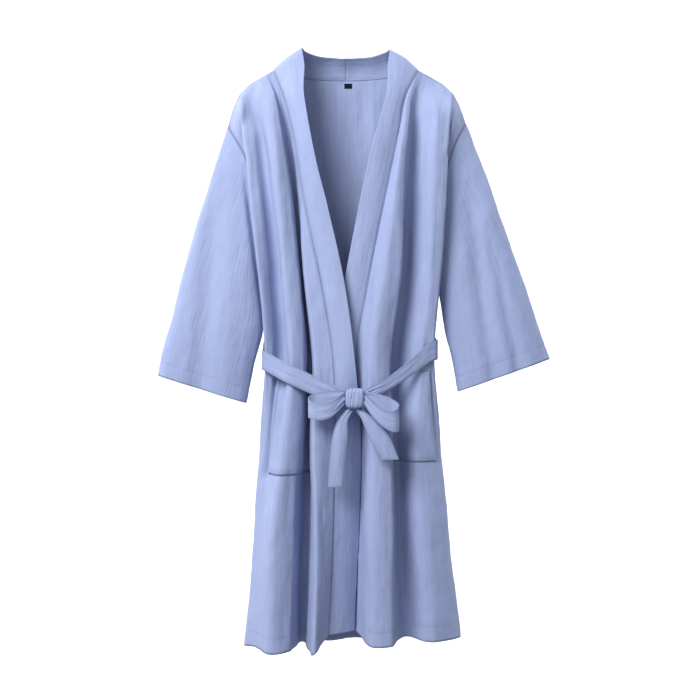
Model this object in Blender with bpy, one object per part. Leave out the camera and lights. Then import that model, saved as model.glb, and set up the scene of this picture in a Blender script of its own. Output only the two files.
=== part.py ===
"""Kimono robe, hanging filled out on nothing, with its sash tied in a bow.

Metres in the scene, millimetres in the tables. +X is the wearer's left, the front faces -Y and +Z is up.
The origin is the middle of the shoulder line, at the height where the collar seams meet it.
"""
import math

import bmesh
import bpy
import numpy as np

MM = 0.001

CLOTH = 1.6           # wall of the body, sleeves and pockets
BAND = 3.0            # doubled wall of the collar and the sash
SEAM = 0.3            # gap between two sewn pieces
LIFT = 0.35           # gap between a piece and what it lies on
NECK_EASE = 2.5       # how much wider the collar seam opens round the neck point, where it turns sharply

NECK_POINT = 138.0    # from the middle to where the collar seam meets the shoulder seam
NECK_DEPTH = 60.0     # how far the back neck seam lies behind the shoulder line
NECK_DROP = 9.0       # how much lower it is there
NECK_TOP = 3.0        # height of the neck points
HEM = -1090.0         # nominal height of the hem
WAIST = -545.0        # height at the side where the sash starts
BUST = -250.0         # from here down the rows are level

LEVELS = (-50, -110, -246, -400, -545, -700, -900, -1090)
ROWS = (0, -25, -58, -98, -148, -198, -248, -296, -335,
        -395, -455, -515, -575, -640, -700, -746, -767, -840, -910, -980, -1040, -1090)
ARM_ROWS = 9          # the rows of each armhole, from the shoulder to the underarm

# Fold lines of a panel, from one edge to the other. top is x on the shoulder seam, x and y are given at
# LEVELS, hem is the height of the hem there, steps the strips up to the next line, crisp 0 for a soft fold and
# 1 for a sharp one.
FRONT_RIGHT = (
    dict(name="side_fold", top=-203, hem=-1095, steps=2, crisp=0.2,
         x=(-200, -190, -179, -163, -152, -161, -176, -193), y=(-16, -34, -46, -46, -38, -36, -32, -28)),
    dict(name="side_valley", top=-190, hem=-1092, steps=3, crisp=0.0,
         x=(-184, -172, -152, -135, -125, -140, -162, -169), y=(-20, -34, -38, -32, -28, -48, -52, -56)),
    dict(name="long_ridge", top=-166, hem=-1097, steps=2, crisp=0.0,
         x=(-148, -137, -123, -113, -101, -113, -132, -136), y=(-26, -46, -62, -62, -66, -84, -94, -100)),
    dict(name="ridge_edge", top=-154, hem=-1094, steps=3, crisp=0.45,
         x=(-136, -124, -106, -90, -79, -95, -112, -113), y=(-24, -40, -52, -54, -56, -70, -78, -86)),
    dict(name="slit", top=-147, hem=-1090, steps=3, crisp=0.0,
         x=(-128, -113, -94, -83, -70, -76, -86, -91), y=(-16, -18, -20, -20, -22, -28, -32, -38)),
    dict(name="narrow_ridge", top=-142, hem=-1096, steps=3, crisp=0.3,
         x=(-122, -106, -85, -74, -58, -59, -53, -58), y=(-20, -30, -46, -58, -66, -86, -98, -104)),
    dict(name="collar_seam", top=-138, hem=-1067, steps=0, crisp=0.0,
         x=(-118, -102, -79, -47, -24, -20, -24, -34), y=(-20, -34, -50, -58, -64, -64, -58, -58)),
)
FRONT_LEFT = (
    dict(name="side_fold", top=205, hem=-1078, steps=3, crisp=0.2,
         x=(203, 195, 187, 177, 166, 179, 199, 217), y=(-16, -34, -44, -44, -38, -34, -34, -32)),
    dict(name="side_ridge", top=185, hem=-1080, steps=3, crisp=0.0,
         x=(180, 174, 166, 158, 146, 132, 147, 157), y=(-22, -40, -50, -50, -44, -60, -66, -72)),
    dict(name="slit", top=148, hem=-1078, steps=3, crisp=0.0,
         x=(136, 131, 124, 111, 93, 99, 111, 123), y=(-14, -20, -22, -22, -24, -28, -32, -38)),
    dict(name="ridge_edge", top=143, hem=-1084, steps=2, crisp=0.5,
         x=(125, 117, 108, 101, 84, 84, 84, 83), y=(-22, -42, -60, -64, -62, -80, -88, -94)),
    dict(name="long_ridge", top=140.5, hem=-1085, steps=4, crisp=0.0,
         x=(119, 110, 91, 70, 47, 56, 51, 56), y=(-24, -45, -68, -74, -76, -86, -94, -98)),
    dict(name="collar_seam", top=138, hem=-1066, steps=0, crisp=0.0,
         x=(114, 102, 74, 43, 19, 27, 23, 17), y=(-20, -36, -52, -50, -50, -44, -42, -42)),
)
BACK = (
    dict(name="side_fold_right", top=-203, hem=-1096, steps=2, crisp=0.2,
         x=(-200, -190, -179, -163, -152, -161, -176, -193), y=(20, 36, 46, 46, 38, 40, 42, 44)),
    dict(name="valley_right", top=-170, hem=-1097, steps=3, crisp=0.0,
         x=(-160, -150, -132, -120, -112, -120, -128, -134), y=(32, 44, 44, 38, 36, 40, 38, 34)),
    dict(name="neck_right", top=-138, hem=-1099, steps=2, crisp=0.0,
         x=(-130, -122, -108, -99, -91, -98, -106, -112), y=(42, 52, 54, 50, 47, 56, 61, 64)),
    dict(name="ridge_right", top=-108, hem=-1100, steps=3, crisp=0.0,
         x=(-102, -96, -84, -76, -68, -74, -82, -88), y=(52, 60, 63, 61, 56, 70, 80, 88)),
    dict(name="soft_valley_right", top=-52, hem=-1101, steps=3, crisp=0.0,
         x=(-48, -44, -38, -33, -28, -31, -33, -35), y=(61, 62, 58, 51, 49, 52, 49, 44)),
    dict(name="centre_ridge", top=0, hem=-1103, steps=3, crisp=0.0,
         x=(2, 4, 8, 12, 14, 14, 16, 20), y=(64, 65, 65, 62, 57, 68, 76, 83)),
    dict(name="soft_valley_left", top=52, hem=-1100, steps=3, crisp=0.0,
         x=(53, 55, 58, 59, 58, 62, 66, 71), y=(61, 61, 56, 51, 49, 52, 47, 43)),
    dict(name="ridge_left", top=108, hem=-1096, steps=2, crisp=0.0,
         x=(104, 102, 98, 95, 90, 100, 112, 119), y=(52, 60, 62, 60, 55, 68, 79, 86)),
    dict(name="neck_left", top=138, hem=-1092, steps=3, crisp=0.0,
         x=(132, 125, 117, 113, 107, 119, 131, 141), y=(42, 52, 54, 49, 46, 54, 60, 62)),
    dict(name="valley_left", top=172, hem=-1086, steps=2, crisp=0.0,
         x=(165, 156, 144, 137, 129, 142, 155, 167), y=(32, 44, 43, 38, 35, 38, 38, 36)),
    dict(name="side_fold_left", top=205, hem=-1080, steps=2, crisp=0.2,
         x=(203, 195, 187, 177, 166, 179, 199, 217), y=(20, 36, 46, 46, 38, 38, 40, 42)),
)

# Shoulder seams from the neck points out to the dropped armholes: x, z.
SHOULDER = ((-226.5, -106), (-221, -86), (-214, -64), (-203, -42), (-184, -24), (-157, -8), (-138, 3),
            (138, 3), (159, -8), (186, -24), (205, -42), (216, -61), (224, -82), (230, -101))

# Armholes, one row for each body row from the shoulder to the underarm; y is for the front, the back mirrors
# it.
ARMHOLE_RIGHT = ((-226.5, 0, -106), (-213, -9, -128), (-199, -14, -152), (-187, -16, -178), (-177, -16, -206),
                 (-169, -15, -236), (-162, -13, -268), (-157, -9, -300), (-153, 0, -335))
ARMHOLE_LEFT = ((230, 0, -101), (217, -9, -125), (205, -14, -150), (195, -16, -178), (186, -16, -206),
                (179, -15, -236), (173, -13, -267), (168, -9, -298), (164, 0, -332))
# Side seams below the underarm: height and x.
SIDE_RIGHT = ((-335, -153), (-400, -144), (-470, -145), (-545, -148),
              (-600, -150), (-700, -157), (-900, -172), (-1090, -188))
SIDE_LEFT = ((-332, 164), (-400, 158), (-470, 159), (-545, 162),
             (-600, 164), (-700, 174), (-900, 194), (-1080, 212))
SIDE_HEM_RIGHT = -1095
SIDE_HEM_LEFT = -1079

# Free edges of the collar band. The first rows of the fronts have a point each, x, y and z; low goes on from
# there as z, x, y. BAND_BACK goes from the centre back to the neck points, x, y, z for each strip of the back.
BAND_RIGHT = dict(
    z=(44, 8, -40, -94, -148, -198), x=(-84, -79, -80, -72, -62, -51), y=(-2, -16, -36, -49, -56, -59),
    low=((-248, -38, -61), (-400, -4, -68), (-545, 16, -74), (-700, 28, -60), (-900, 23, -56),
         (-1090, 13, -55)))
BAND_LEFT = dict(
    z=(42, 8, -40, -94, -148, -198), x=(84, 80, 78, 65, 49, 38), y=(-2, -16, -36, -50, -60, -62),
    low=((-248, 27, -62), (-400, -2, -52), (-545, -24, -46), (-700, -19, -45), (-900, -22, -42),
         (-1090, -28, -40)))
BAND_BACK = ((0, 38, 34), (13, 38, 34), (26, 37, 35), (38, 35, 35),
             (50, 31, 36), (61, 26, 38), (71, 19, 40), (79, 9, 42))
BAND_BULGE = 4.0      # how far the band bows out between its edges
BAND_STRIPS = 4

# Sleeves: the outer and the inner edge as x, z, and half the depth of the tube at equal steps from armhole to
# cuff.
SLEEVE_STEPS = 11
SLEEVE_RIGHT = dict(
    outer=((-226.5, -106), (-255, -194), (-284, -286), (-311, -378),
           (-334, -471), (-353, -540), (-361, -578)),
    inner=((-153, -335), (-158, -390), (-160, -440), (-160, -495), (-179, -566), (-200, -638)))
SLEEVE_LEFT = dict(
    outer=((230, -101), (267, -194), (299.5, -286), (332, -378), (363, -471), (391, -551)),
    inner=((164, -332), (172, -390), (179, -430), (190.5, -500), (205, -559), (214, -614)))
SLEEVE_DEPTH = (15, 21, 25, 26, 27, 27, 26)
# Hanging creases of the sleeves: from x, z down to x, z; width and depth of the trough; side -1 front, 1 back.
SLEEVE_CREASES = (
    dict(top=(-240, -190), low=(-276, -570), width=17, depth=8, side=-1),
    dict(top=(-205, -260), low=(-238, -560), width=11, depth=5, side=-1),
    dict(top=(-250, -230), low=(-300, -560), width=16, depth=6, side=1),
    dict(top=(-206, -280), low=(-230, -600), width=14, depth=4, side=1),
    dict(top=(231, -190), low=(276, -560), width=17, depth=8, side=-1),
    dict(top=(262, -260), low=(322, -540), width=13, depth=5, side=-1),
    dict(top=(255, -230), low=(312, -560), width=16, depth=6, side=1),
    dict(top=(205, -300), low=(250, -590), width=14, depth=4, side=1),
)

# Pockets: the strips of the panel they start and end at, and the heights of their top and bottom rows.
POCKET_RIGHT = dict(first=4, last=13, top=-575, bottom=-767)
POCKET_LEFT = dict(first=3, last=10, top=-575, bottom=-746)

# Sash across the front: x, height of the strap's middle, half its width. It runs level round the back.
SASH_FRONT = ((-170, -553, 18.5), (-157, -553, 18.5), (-110, -577, 18.5), (-60, -600, 18), (-2, -621, 13),
              (34, -617, 9), (70, -603, 11), (110, -576, 15), (160, -537, 18.5), (190, -529, 18.5))
SASH_HALF = 18.5
SASH_BACK_Z = -526.0
SASH_STATIONS = 60
SASH_TURN = 60.0      # how many millimetres of length a radian of turn counts for when the stations are set
SASH_CLEAR = 1.0      # gap between the sash and the folds that it lies on
SASH_LEAN = 5.0       # how far both ends of the strap stand out to reach the knot

# Knot: its middle and half its width, depth and height. Bow loops: the way of the strap as x, y, top, bottom.
# Hanging ends: height, left edge, right edge, y.
KNOT = dict(x=16.2, y=-98.5, z=-623.5, w=17.6, d=14.5, h=19.5)
LOOP_RIGHT = ((-2.2, -97.4, -608, -630), (-20, -97.8, -608, -642), (-42, -97.8, -611, -649),
              (-60, -98.6, -615, -653), (-68.5, -104, -621, -658), (-65, -112, -627, -660),
              (-48, -117, -630, -663), (-28, -116, -628, -658), (-10, -109.5, -616, -642),
              (-2.2, -105, -610, -634))
LOOP_LEFT = ((34.6, -97.4, -612, -632), (50, -98.5, -613, -647), (70, -100.5, -618, -662),
             (88, -103, -626, -674), (97.5, -109, -634, -682), (93, -116.5, -643, -685),
             (76, -120, -645, -680), (57, -117, -636, -665), (42, -110, -622, -647),
             (34.6, -105, -615, -635))
TAIL_RIGHT = ((-644.0, 1, 14, -97), (-660, -13, 5, -102), (-690, -24, 3, -105), (-720, -28, 0, -105),
              (-752, -31, -3, -104), (-787, -33, -5, -102))
TAIL_LEFT = ((-644.0, 16, 29, -97), (-658, 27, 47, -103), (-678, 36, 68, -106), (-698, 44, 82, -107),
             (-716, 54, 90, -107), (-736, 66, 98, -106))

LABEL = dict(x=4.0, width=15.0, top=-11.0, height=9.5, wall=0.6)
LABEL_ROWS = 2        # the tag lies within this many rows of the back

BLUE = (0.42, 0.50, 0.82, 1.0)
NAVY = (0.012, 0.014, 0.03, 1.0)


def lerp(table, at):
    """Value on a table of (key, value...) rows, straight between the rows and flat beyond them."""
    rows = sorted(table)
    keys = [row[0] for row in rows]
    return [float(np.interp(at, keys, [row[i] for row in rows])) for i in range(1, len(rows[0]))]


def smooth(keys, values, at):
    """Value at a place on a smooth curve through keys and values."""
    keys = np.asarray(keys, float)
    values = np.asarray(values, float)
    if keys[0] > keys[-1]:
        keys, values = keys[::-1], values[::-1]
    slope = np.gradient(values, keys)
    at = min(max(at, keys[0]), keys[-1])
    i = min(int(np.searchsorted(keys, at, side="right")) - 1, len(keys) - 2)
    span = keys[i + 1] - keys[i]
    t = (at - keys[i]) / span
    return float((2 * t**3 - 3 * t**2 + 1) * values[i] + (t**3 - 2 * t**2 + t) * span * slope[i]
                 + (3 * t**2 - 2 * t**3) * values[i + 1] + (t**3 - t**2) * span * slope[i + 1])


def section(points, steps, crisp):
    """Smooth curve through the fold points of one row, cut into the given strips."""
    p = np.asarray(points, float)
    length = np.linalg.norm(np.diff(p, axis=0), axis=1)
    tangent = np.zeros_like(p)
    tangent[0] = (p[1] - p[0]) / length[0]
    tangent[-1] = (p[-1] - p[-2]) / length[-1]
    for i in range(1, len(p) - 1):
        ahead = (p[i + 1] - p[i]) / length[i]
        behind = (p[i] - p[i - 1]) / length[i - 1]
        weight = length[i] / (length[i] + length[i - 1])
        mean = ahead * (1 - weight) + behind * weight
        tangent[i] = mean / math.sqrt(max(np.linalg.norm(mean), 0.05)) * (1 - crisp[i])
    curve = [p[0]]
    for i, count in enumerate(steps):
        for k in range(1, count + 1):
            t = k / count
            curve.append((2 * t**3 - 3 * t**2 + 1) * p[i] + (t**3 - 2 * t**2 + t) * length[i] * tangent[i]
                         + (3 * t**2 - 2 * t**3) * p[i + 1] + (t**3 - t**2) * length[i] * tangent[i + 1])
    return curve


def shoulder_z(x):
    """Height of the shoulder seam at x."""
    return lerp(SHOULDER, x)[0]


def neckline(x):
    """Back neck seam at x: y and z."""
    part = min(abs(x) / NECK_POINT, 1.0)
    return NECK_DEPTH * math.sqrt(1 - part**2), NECK_TOP - NECK_DROP * (1 - part**2)


def top_point(x):
    """Point of the shoulder seam or the back neck seam at x."""
    if abs(x) >= NECK_POINT:
        return np.array((x, 0.0, shoulder_z(x)))
    y, z = neckline(x)
    return np.array((x, y, z))


def fold_point(line, row):
    """Point of a fold line in a row of its panel."""
    start = top_point(line["top"])
    nominal = ROWS[row]
    fade = max(0.0, (nominal - BUST) / -BUST) ** 1.15
    z = nominal + start[2] * fade
    if nominal < WAIST:
        z += (line["hem"] - HEM) * ((WAIST - nominal) / (WAIST - HEM)) ** 2
    if row == 0:
        return start
    keys = (start[2],) + LEVELS
    at = max(z, HEM)
    x = smooth(keys, (start[0],) + line["x"], at)
    y = smooth(keys, (start[1],) + line["y"], at)
    return np.array((x, y, z))


def side_point(armhole, side, hem, row, mirror):
    """Point of the armhole or of the side seam below it."""
    if row < ARM_ROWS:
        x, y, z = armhole[row]
        return np.array((x, y * mirror, z), float)
    nominal = ROWS[row]
    z = nominal
    if nominal < WAIST:
        z += (hem - HEM) * ((WAIST - nominal) / (WAIST - HEM)) ** 2
    keys = [key for key, _ in side]
    return np.array((smooth(keys, [value for _, value in side], z), 0.0, z))


def panel(lines, ends):
    """Grid of a panel: one list of points for each row. ends are the side seams, as arguments of side_point."""
    grid = []
    for row in range(len(ROWS)):
        points = [fold_point(line, row) for line in lines]
        steps = [line["steps"] for line in lines][:-1]
        crisp = [line["crisp"] for line in lines]
        points.insert(0, side_point(*ends[0][:3], row, ends[0][3]))
        steps.insert(0, 2)
        crisp.insert(0, 0.0)
        if len(ends) > 1:
            points.append(side_point(*ends[1][:3], row, ends[1][3]))
            steps.append(2)
            crisp.append(0.0)
        curve = section(points, steps, crisp)
        if row == 0:
            curve = [top_point(point[0]) for point in curve]
        grid.append(curve)
    return np.array(grid)


def unit(vectors):
    """Vectors brought to length 1."""
    size = np.linalg.norm(vectors, axis=-1, keepdims=True)
    return vectors / np.maximum(size, 1e-9)


def normals(grid, closed=False):
    """Normals of a grid, from the differences along its rows and columns."""
    if closed:
        across = np.roll(grid, -1, axis=1) - np.roll(grid, 1, axis=1)
    else:
        across = np.gradient(grid, axis=1)
    along = np.gradient(grid, axis=0)
    return unit(np.cross(across, along))


class Sheet:
    """A grid of points with its normals, its wall and the shifts of its sewn edges."""

    def __init__(self, grid, wall, closed=False, flip=False):
        self.grid = np.array(grid, float)
        self.normal = normals(self.grid, closed) * (-1 if flip else 1)
        self.shift = np.zeros_like(self.grid)
        self.wall = wall
        self.closed = closed

    def faces(self):
        """The outer and the inner face of the wall."""
        base = self.grid + self.shift
        return base + self.normal * self.wall / 2, base - self.normal * self.wall / 2


def new_object(name, points, faces, colour, rough):
    """One named mesh object with a material of its own."""
    mesh = bpy.data.meshes.new(name)
    mesh.from_pydata([tuple(point) for point in np.asarray(points) * MM], [], faces)
    work = bmesh.new()
    work.from_mesh(mesh)
    bmesh.ops.recalc_face_normals(work, faces=work.faces)
    work.to_mesh(mesh)
    work.free()
    obj = bpy.data.objects.new(name, mesh)
    bpy.context.scene.collection.objects.link(obj)
    material = bpy.data.materials.new(name + "_cloth")
    material.use_nodes = True
    shader = material.node_tree.nodes["Principled BSDF"]
    shader.inputs["Base Color"].default_value = colour
    shader.inputs["Roughness"].default_value = rough
    mesh.materials.append(material)
    return obj


def wall_object(name, sheet, colour=BLUE, rough=0.85):
    """A sheet as a closed wall."""
    outer, inner = sheet.faces()
    rows, cols = outer.shape[:2]
    points = np.concatenate((outer.reshape(-1, 3), inner.reshape(-1, 3)))
    half = rows * cols
    faces = []
    across = cols if sheet.closed else cols - 1
    for r in range(rows - 1):
        for c in range(across):
            d = (c + 1) % cols
            a, b, e, f = r * cols + c, r * cols + d, (r + 1) * cols + d, (r + 1) * cols + c
            faces.extend(((a, b, e), (a, e, f)))
            faces.extend(((half + e, half + b, half + a), (half + f, half + e, half + a)))
    for r in (0, rows - 1):
        for c in range(across):
            d = (c + 1) % cols
            faces.append((r * cols + c, half + r * cols + c, half + r * cols + d, r * cols + d))
    if not sheet.closed:
        for c in (0, cols - 1):
            for r in range(rows - 1):
                a, b = r * cols + c, (r + 1) * cols + c
                faces.append((a, b, half + b, half + a))
    return new_object(name, points, faces, colour, rough)


def body_sheets():
    """The three body panels, their shoulder and side seams drawn apart."""
    right = (ARMHOLE_RIGHT, SIDE_RIGHT, SIDE_HEM_RIGHT, 1)
    left = (ARMHOLE_LEFT, SIDE_LEFT, SIDE_HEM_LEFT, 1)
    front_right = Sheet(panel(FRONT_RIGHT, (right,)), CLOTH, flip=True)
    front_left = Sheet(panel(FRONT_LEFT, (left,)), CLOTH)
    back = Sheet(panel(BACK, (right[:3] + (-1,), left[:3] + (-1,))), CLOTH)
    for sheet, sign in ((front_right, -1), (front_left, -1), (back, 1)):
        for c in range(sheet.grid.shape[1]):
            if abs(sheet.grid[0, c, 0]) >= NECK_POINT - 0.01:
                sheet.normal[0, c] = unit(sheet.normal[0, c] * (1, 0, 1))
                sheet.shift[0, c, 1] += sign * SEAM / 2
        for c in ((0, -1) if sheet is back else (0,)):
            for r in range(ARM_ROWS - 1, len(ROWS)):
                sheet.normal[r, c] = unit(sheet.normal[r, c] * (1, 0, 1))
                sheet.shift[r, c, 1] += sign * SEAM / 2
    return front_right, front_left, back


def sleeve_grid(armhole, shape):
    """Grid of a sleeve: rings from the armhole to the cuff. Each starts on the outer edge, goes round the front
    to the inner edge and comes back round the rear."""
    arm = np.array(armhole, float)
    half = [arm[0]]
    for i in range(1, len(arm)):
        half.append((arm[i - 1] + arm[i]) / 2)
        half.append(arm[i])
    half = np.array(half)
    count = len(half) - 1
    ring = np.concatenate((half, half[1:-1][::-1] * (1, -1, 1)))
    outer = np.array([(x, 0, z) for x, z in shape["outer"]], float)
    inner = np.array([(x, 0, z) for x, z in shape["inner"]], float)
    rings = [ring]
    for step in range(1, SLEEVE_STEPS + 1):
        t = step / SLEEVE_STEPS
        a = along(outer, t)
        b = along(inner, t)
        depth = smooth(np.linspace(0, 1, len(SLEEVE_DEPTH)), SLEEVE_DEPTH, t)
        blend = min(1.0, t * 3)
        points = []
        for j in range(2 * count):
            k = j if j <= count else 2 * count - j
            side = -1 if j <= count else 1
            even = k / count
            s = even * 0.55 + (1 - math.cos(math.pi * even)) * 0.225
            own = np.dot(half[k] - half[0], half[-1] - half[0]) / np.dot(half[-1] - half[0], half[-1] - half[0])
            s = own + (s - own) * blend
            point = a + (b - a) * s
            bow = half[k] - (half[0] + (half[-1] - half[0]) * own)
            push = depth * math.sqrt(max(0.0, 1 - (2 * s - 1) ** 2))
            point = point + np.array((bow[0], 0, bow[2])) * (1 - blend)
            y = abs(bow[1]) * (1 - blend) + push * blend
            for crease in SLEEVE_CREASES:
                y -= crease_depth(crease, point, side, armhole[0][0])
            point[1] = side * max(y, 0.0)
            points.append(point)
        rings.append(np.array(points))
    return np.array(rings)


def along(line, t):
    """Point at the share t of a line's length."""
    length = np.concatenate(((0,), np.cumsum(np.linalg.norm(np.diff(line, axis=0), axis=1))))
    at = t * length[-1]
    return np.array([np.interp(at, length, line[:, i]) for i in range(3)])


def crease_depth(crease, point, side, arm_x):
    """How deep a hanging crease lies at a point of a sleeve."""
    if crease["side"] != side or crease["top"][0] * arm_x < 0:
        return 0.0
    (x0, z0), (x1, z1) = crease["top"], crease["low"]
    t = (point[2] - z0) / (z1 - z0)
    fade = min(max(t / 0.35, 0.0), 1.0)
    fade = fade * fade * (3 - 2 * fade)
    off = (point[0] - (x0 + (x1 - x0) * t)) / crease["width"]
    return crease["depth"] * fade * math.exp(-off * off)


def sew_sleeve(sleeve, front, back, column):
    """Give the sleeve's first ring and the armhole edges of the body one shared frame, drawn apart."""
    count = 2 * (ARM_ROWS - 1)
    for k in range(ARM_ROWS):
        for body, j, sign in ((front, 2 * k, 1), (back, (2 * count - 2 * k) % (2 * count), -1)):
            col = 0 if body is front else column
            point = body.grid[k, col]
            tangent = sleeve.grid[0, (j + 1) % (2 * count)] - sleeve.grid[0, j - 1]
            shared = unit(body.normal[k, col] + sleeve.normal[0, j])
            if k in (0, ARM_ROWS - 1):
                shared = unit(shared * (1, 0, 1)) if k == 0 else np.array((0.0, 0.0, -1.0))
                tangent = np.array((0.0, 1.0, 0.0))
            aside = unit(np.cross(tangent, shared))
            aside *= np.sign(np.dot(aside, sleeve.grid[1, j] - point))
            body.normal[k, col] = shared
            body.shift[k, col] -= aside * SEAM / 2
            sleeve.normal[0, j] = shared
            sleeve.shift[0, j] = aside * SEAM / 2
    total = 2 * count
    for j in range(1, total, 2):
        before, after = (j - 1) % total, (j + 1) % total
        sleeve.normal[0, j] = (sleeve.normal[0, before] + sleeve.normal[0, after]) / 2
        sleeve.shift[0, j] = (sleeve.shift[0, before] + sleeve.shift[0, after]) / 2


def band_grid(front, back, edge, sign):
    """Grid of half the collar: from the centre back over the neck point down to the hem; seam edge first."""
    top = back.grid[0]
    inside = [c for c in range(top.shape[0])
              if abs(top[c, 0]) < NECK_POINT - 0.01 and top[c, 0] * sign >= -1e-6]
    inside.sort(key=lambda c: abs(top[c, 0]))
    rows = []
    for c, (x, y, z) in zip(inside, BAND_BACK, strict=True):
        rows.append((top[c], np.array((x * sign, y, z), float), ("back", c)))
    for r in range(len(ROWS)):
        seam = front.grid[r, -1]
        if r < len(edge["z"]):
            free = np.array((edge["x"][r], edge["y"][r], edge["z"][r]), float)
        else:
            keys = [row[0] for row in edge["low"]]
            z = seam[2] + (3.0 if r == len(ROWS) - 1 else 0.0)
            free = np.array((smooth(keys, [row[1] for row in edge["low"]], z),
                             smooth(keys, [row[2] for row in edge["low"]], z), z))
        rows.append((seam, free, ("front", r)))
    grid = []
    for seam, free, _ in rows:
        grid.append([seam + (free - seam) * k / BAND_STRIPS for k in range(BAND_STRIPS + 1)])
    grid = np.array(grid)
    bulge = normals(grid)
    for k in range(1, BAND_STRIPS):
        grid[:, k] += bulge[:, k] * BAND_BULGE * math.sin(math.pi * k / BAND_STRIPS) * sign
    return grid, [key for _, _, key in rows]


def sew_band(band, keys, front, back):
    """One shared frame along the collar seam, and the two halves drawn apart at the centre back."""
    corner = keys.index(("front", 0))
    for i, (kind, index) in enumerate(keys):
        body, r, c = (front, index, -1) if kind == "front" else (back, 0, index)
        point = body.grid[r, c]
        shared = unit(body.normal[r, c] + band.normal[i, 0])
        if kind == "front" and r == 0:
            shared = unit(shared * (1, 0, 1))
        tangent = band.grid[min(i + 1, len(keys) - 1), 0] - band.grid[max(i - 1, 0), 0]
        aside = unit(np.cross(tangent, shared))
        aside *= np.sign(np.dot(aside, band.grid[i, 1] - point))
        if i == 0:
            shared = unit(shared * (0, 1, 1))
            body.shift[r, c] = 0.0
        apart = SEAM / 2 * (1 + NECK_EASE * math.exp(-(((i - corner) / 1.5) ** 2)))
        body.normal[r, c] = shared
        body.shift[r, c] -= aside * apart
        band.normal[i, 0] = shared
        band.shift[i, 0] += aside * apart
    band.shift[0, :, 0] += SEAM / 2 * np.sign(band.grid[5, 0, 0])
    band.normal[0] = unit(band.normal[0] * (0, 1, 1))


def meet_at_neck_point(front, back, column, band, row):
    """The back's corner at a neck point follows the front's."""
    back.normal[0, column] = front.normal[0, -1]
    shift = front.shift[0, -1].copy()
    shift[1] = SEAM / 2
    back.shift[0, column] = shift
    band.normal[row, 0] = front.normal[0, -1]


def pocket_sheet(body, shape):
    """A patch pocket: the panel's own points between two strips and two rows, moved out."""
    rows = slice(ROWS.index(shape["top"]), ROWS.index(shape["bottom"]) + 1)
    cols = slice(shape["first"], shape["last"] + 1)
    grid = body.grid + body.normal * (CLOTH + LIFT)
    sheet = Sheet(grid[rows, cols], CLOTH)
    sheet.normal = body.normal[rows, cols].copy()
    return sheet


def between(grid, r, c):
    """Point of a grid between its rows and columns."""
    r0, c0 = min(int(r), grid.shape[0] - 2), min(int(c), grid.shape[1] - 2)
    a, b = r - r0, c - c0
    return ((grid[r0, c0] * (1 - b) + grid[r0, c0 + 1] * b) * (1 - a)
            + (grid[r0 + 1, c0] * (1 - b) + grid[r0 + 1, c0 + 1] * b) * a)


def convex(points):
    """Convex hull of plan points, going round once."""
    points = sorted(set(map(tuple, points)))
    chains = []
    for ordered in (points, points[::-1]):
        chain = []
        for p in ordered:
            while len(chain) > 1:
                (ax, ay), (bx, by) = chain[-2], chain[-1]
                if (bx - ax) * (p[1] - ay) - (by - ay) * (p[0] - ax) > 0:
                    break
                chain.pop()
            chain.append(p)
        chains.append(chain[:-1])
    return np.array(chains[0] + chains[1])


def sash_level(x, y):
    """Middle height and half width of the sash at a place of its way."""
    z, half = lerp(SASH_FRONT, x)
    turn = min(max((y + 30) / 90.0, 0.0), 1.0)
    turn = turn * turn * (3 - 2 * turn)
    return z + (SASH_BACK_Z - z) * turn, half + (SASH_HALF - half) * turn


def sash_way(sheets):
    """Plan view of the sash: the taut line over everything it goes round, in steps of about 4 mm."""
    near = []
    for sheet in sheets:
        for point in sheet.faces()[0].reshape(-1, 3):
            z, half = sash_level(point[0], point[1])
            if abs(point[2] - z) < half + 62:
                near.append((round(point[0], 3), round(point[1], 3)))
    hull = convex(near)
    middle = hull.mean(axis=0)
    fine = []
    for i in range(len(hull)):
        a, b = hull[i], hull[(i + 1) % len(hull)]
        pieces = max(1, int(np.linalg.norm(b - a) / 4))
        fine.extend(a + (b - a) * k / pieces for k in range(pieces))
    fine = np.array(fine)
    for _ in range(3):
        outward = unit(fine - middle)
        soft = (np.roll(fine, 1, axis=0) + fine * 2 + np.roll(fine, -1, axis=0)) / 4
        fine = soft + outward * 0.2
    outward = unit(np.roll(fine, -1, axis=0) - np.roll(fine, 1, axis=0))
    outward = np.stack((outward[:, 1], -outward[:, 0]), axis=1)
    return fine + outward * (SASH_CLEAR + BAND / 2)


def sash_sheet(sheets):
    """The sash as a sheet that ends at both flanks of the knot."""
    ring = sash_way(sheets)
    start, stop = KNOT["x"] + KNOT["w"] + SEAM, KNOT["x"] - KNOT["w"] - SEAM
    front = [i for i in range(len(ring)) if ring[i, 1] < 0]
    first = min((i for i in front if ring[i, 0] > start), key=lambda i: ring[i, 0])
    order = [ring[(first + k) % len(ring)] for k in range(len(ring))]
    way = [np.array((start, order[0][1]))]
    way += [p for p in order if not (p[1] < 0 and stop < p[0] < start)]
    way.append(np.array((stop, way[-1][1])))
    way = np.array(way)
    step = np.diff(way, axis=0)
    length = np.concatenate(((0,), np.cumsum(np.linalg.norm(step, axis=1))))
    heading = np.unwrap(np.arctan2(step[:, 1], step[:, 0]))
    turned = np.concatenate(((0,), np.cumsum(np.abs(np.diff(heading))), (0,)))
    turned[-1] = turned[-2]
    measure = length + turned * SASH_TURN
    grid = []
    for share in np.linspace(0, measure[-1], SASH_STATIONS):
        x, y = (float(np.interp(share, measure, way[:, i])) for i in range(2))
        at = float(np.interp(share, measure, length))
        z, half = sash_level(x, y)
        lean = SASH_LEAN * math.exp(-min(at, length[-1] - at) / 60.0)
        grid.append([(x, y - lean, z + half), (x, y - lean, z), (x, y - lean, z - half)])
    return Sheet(grid, BAND)


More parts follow.
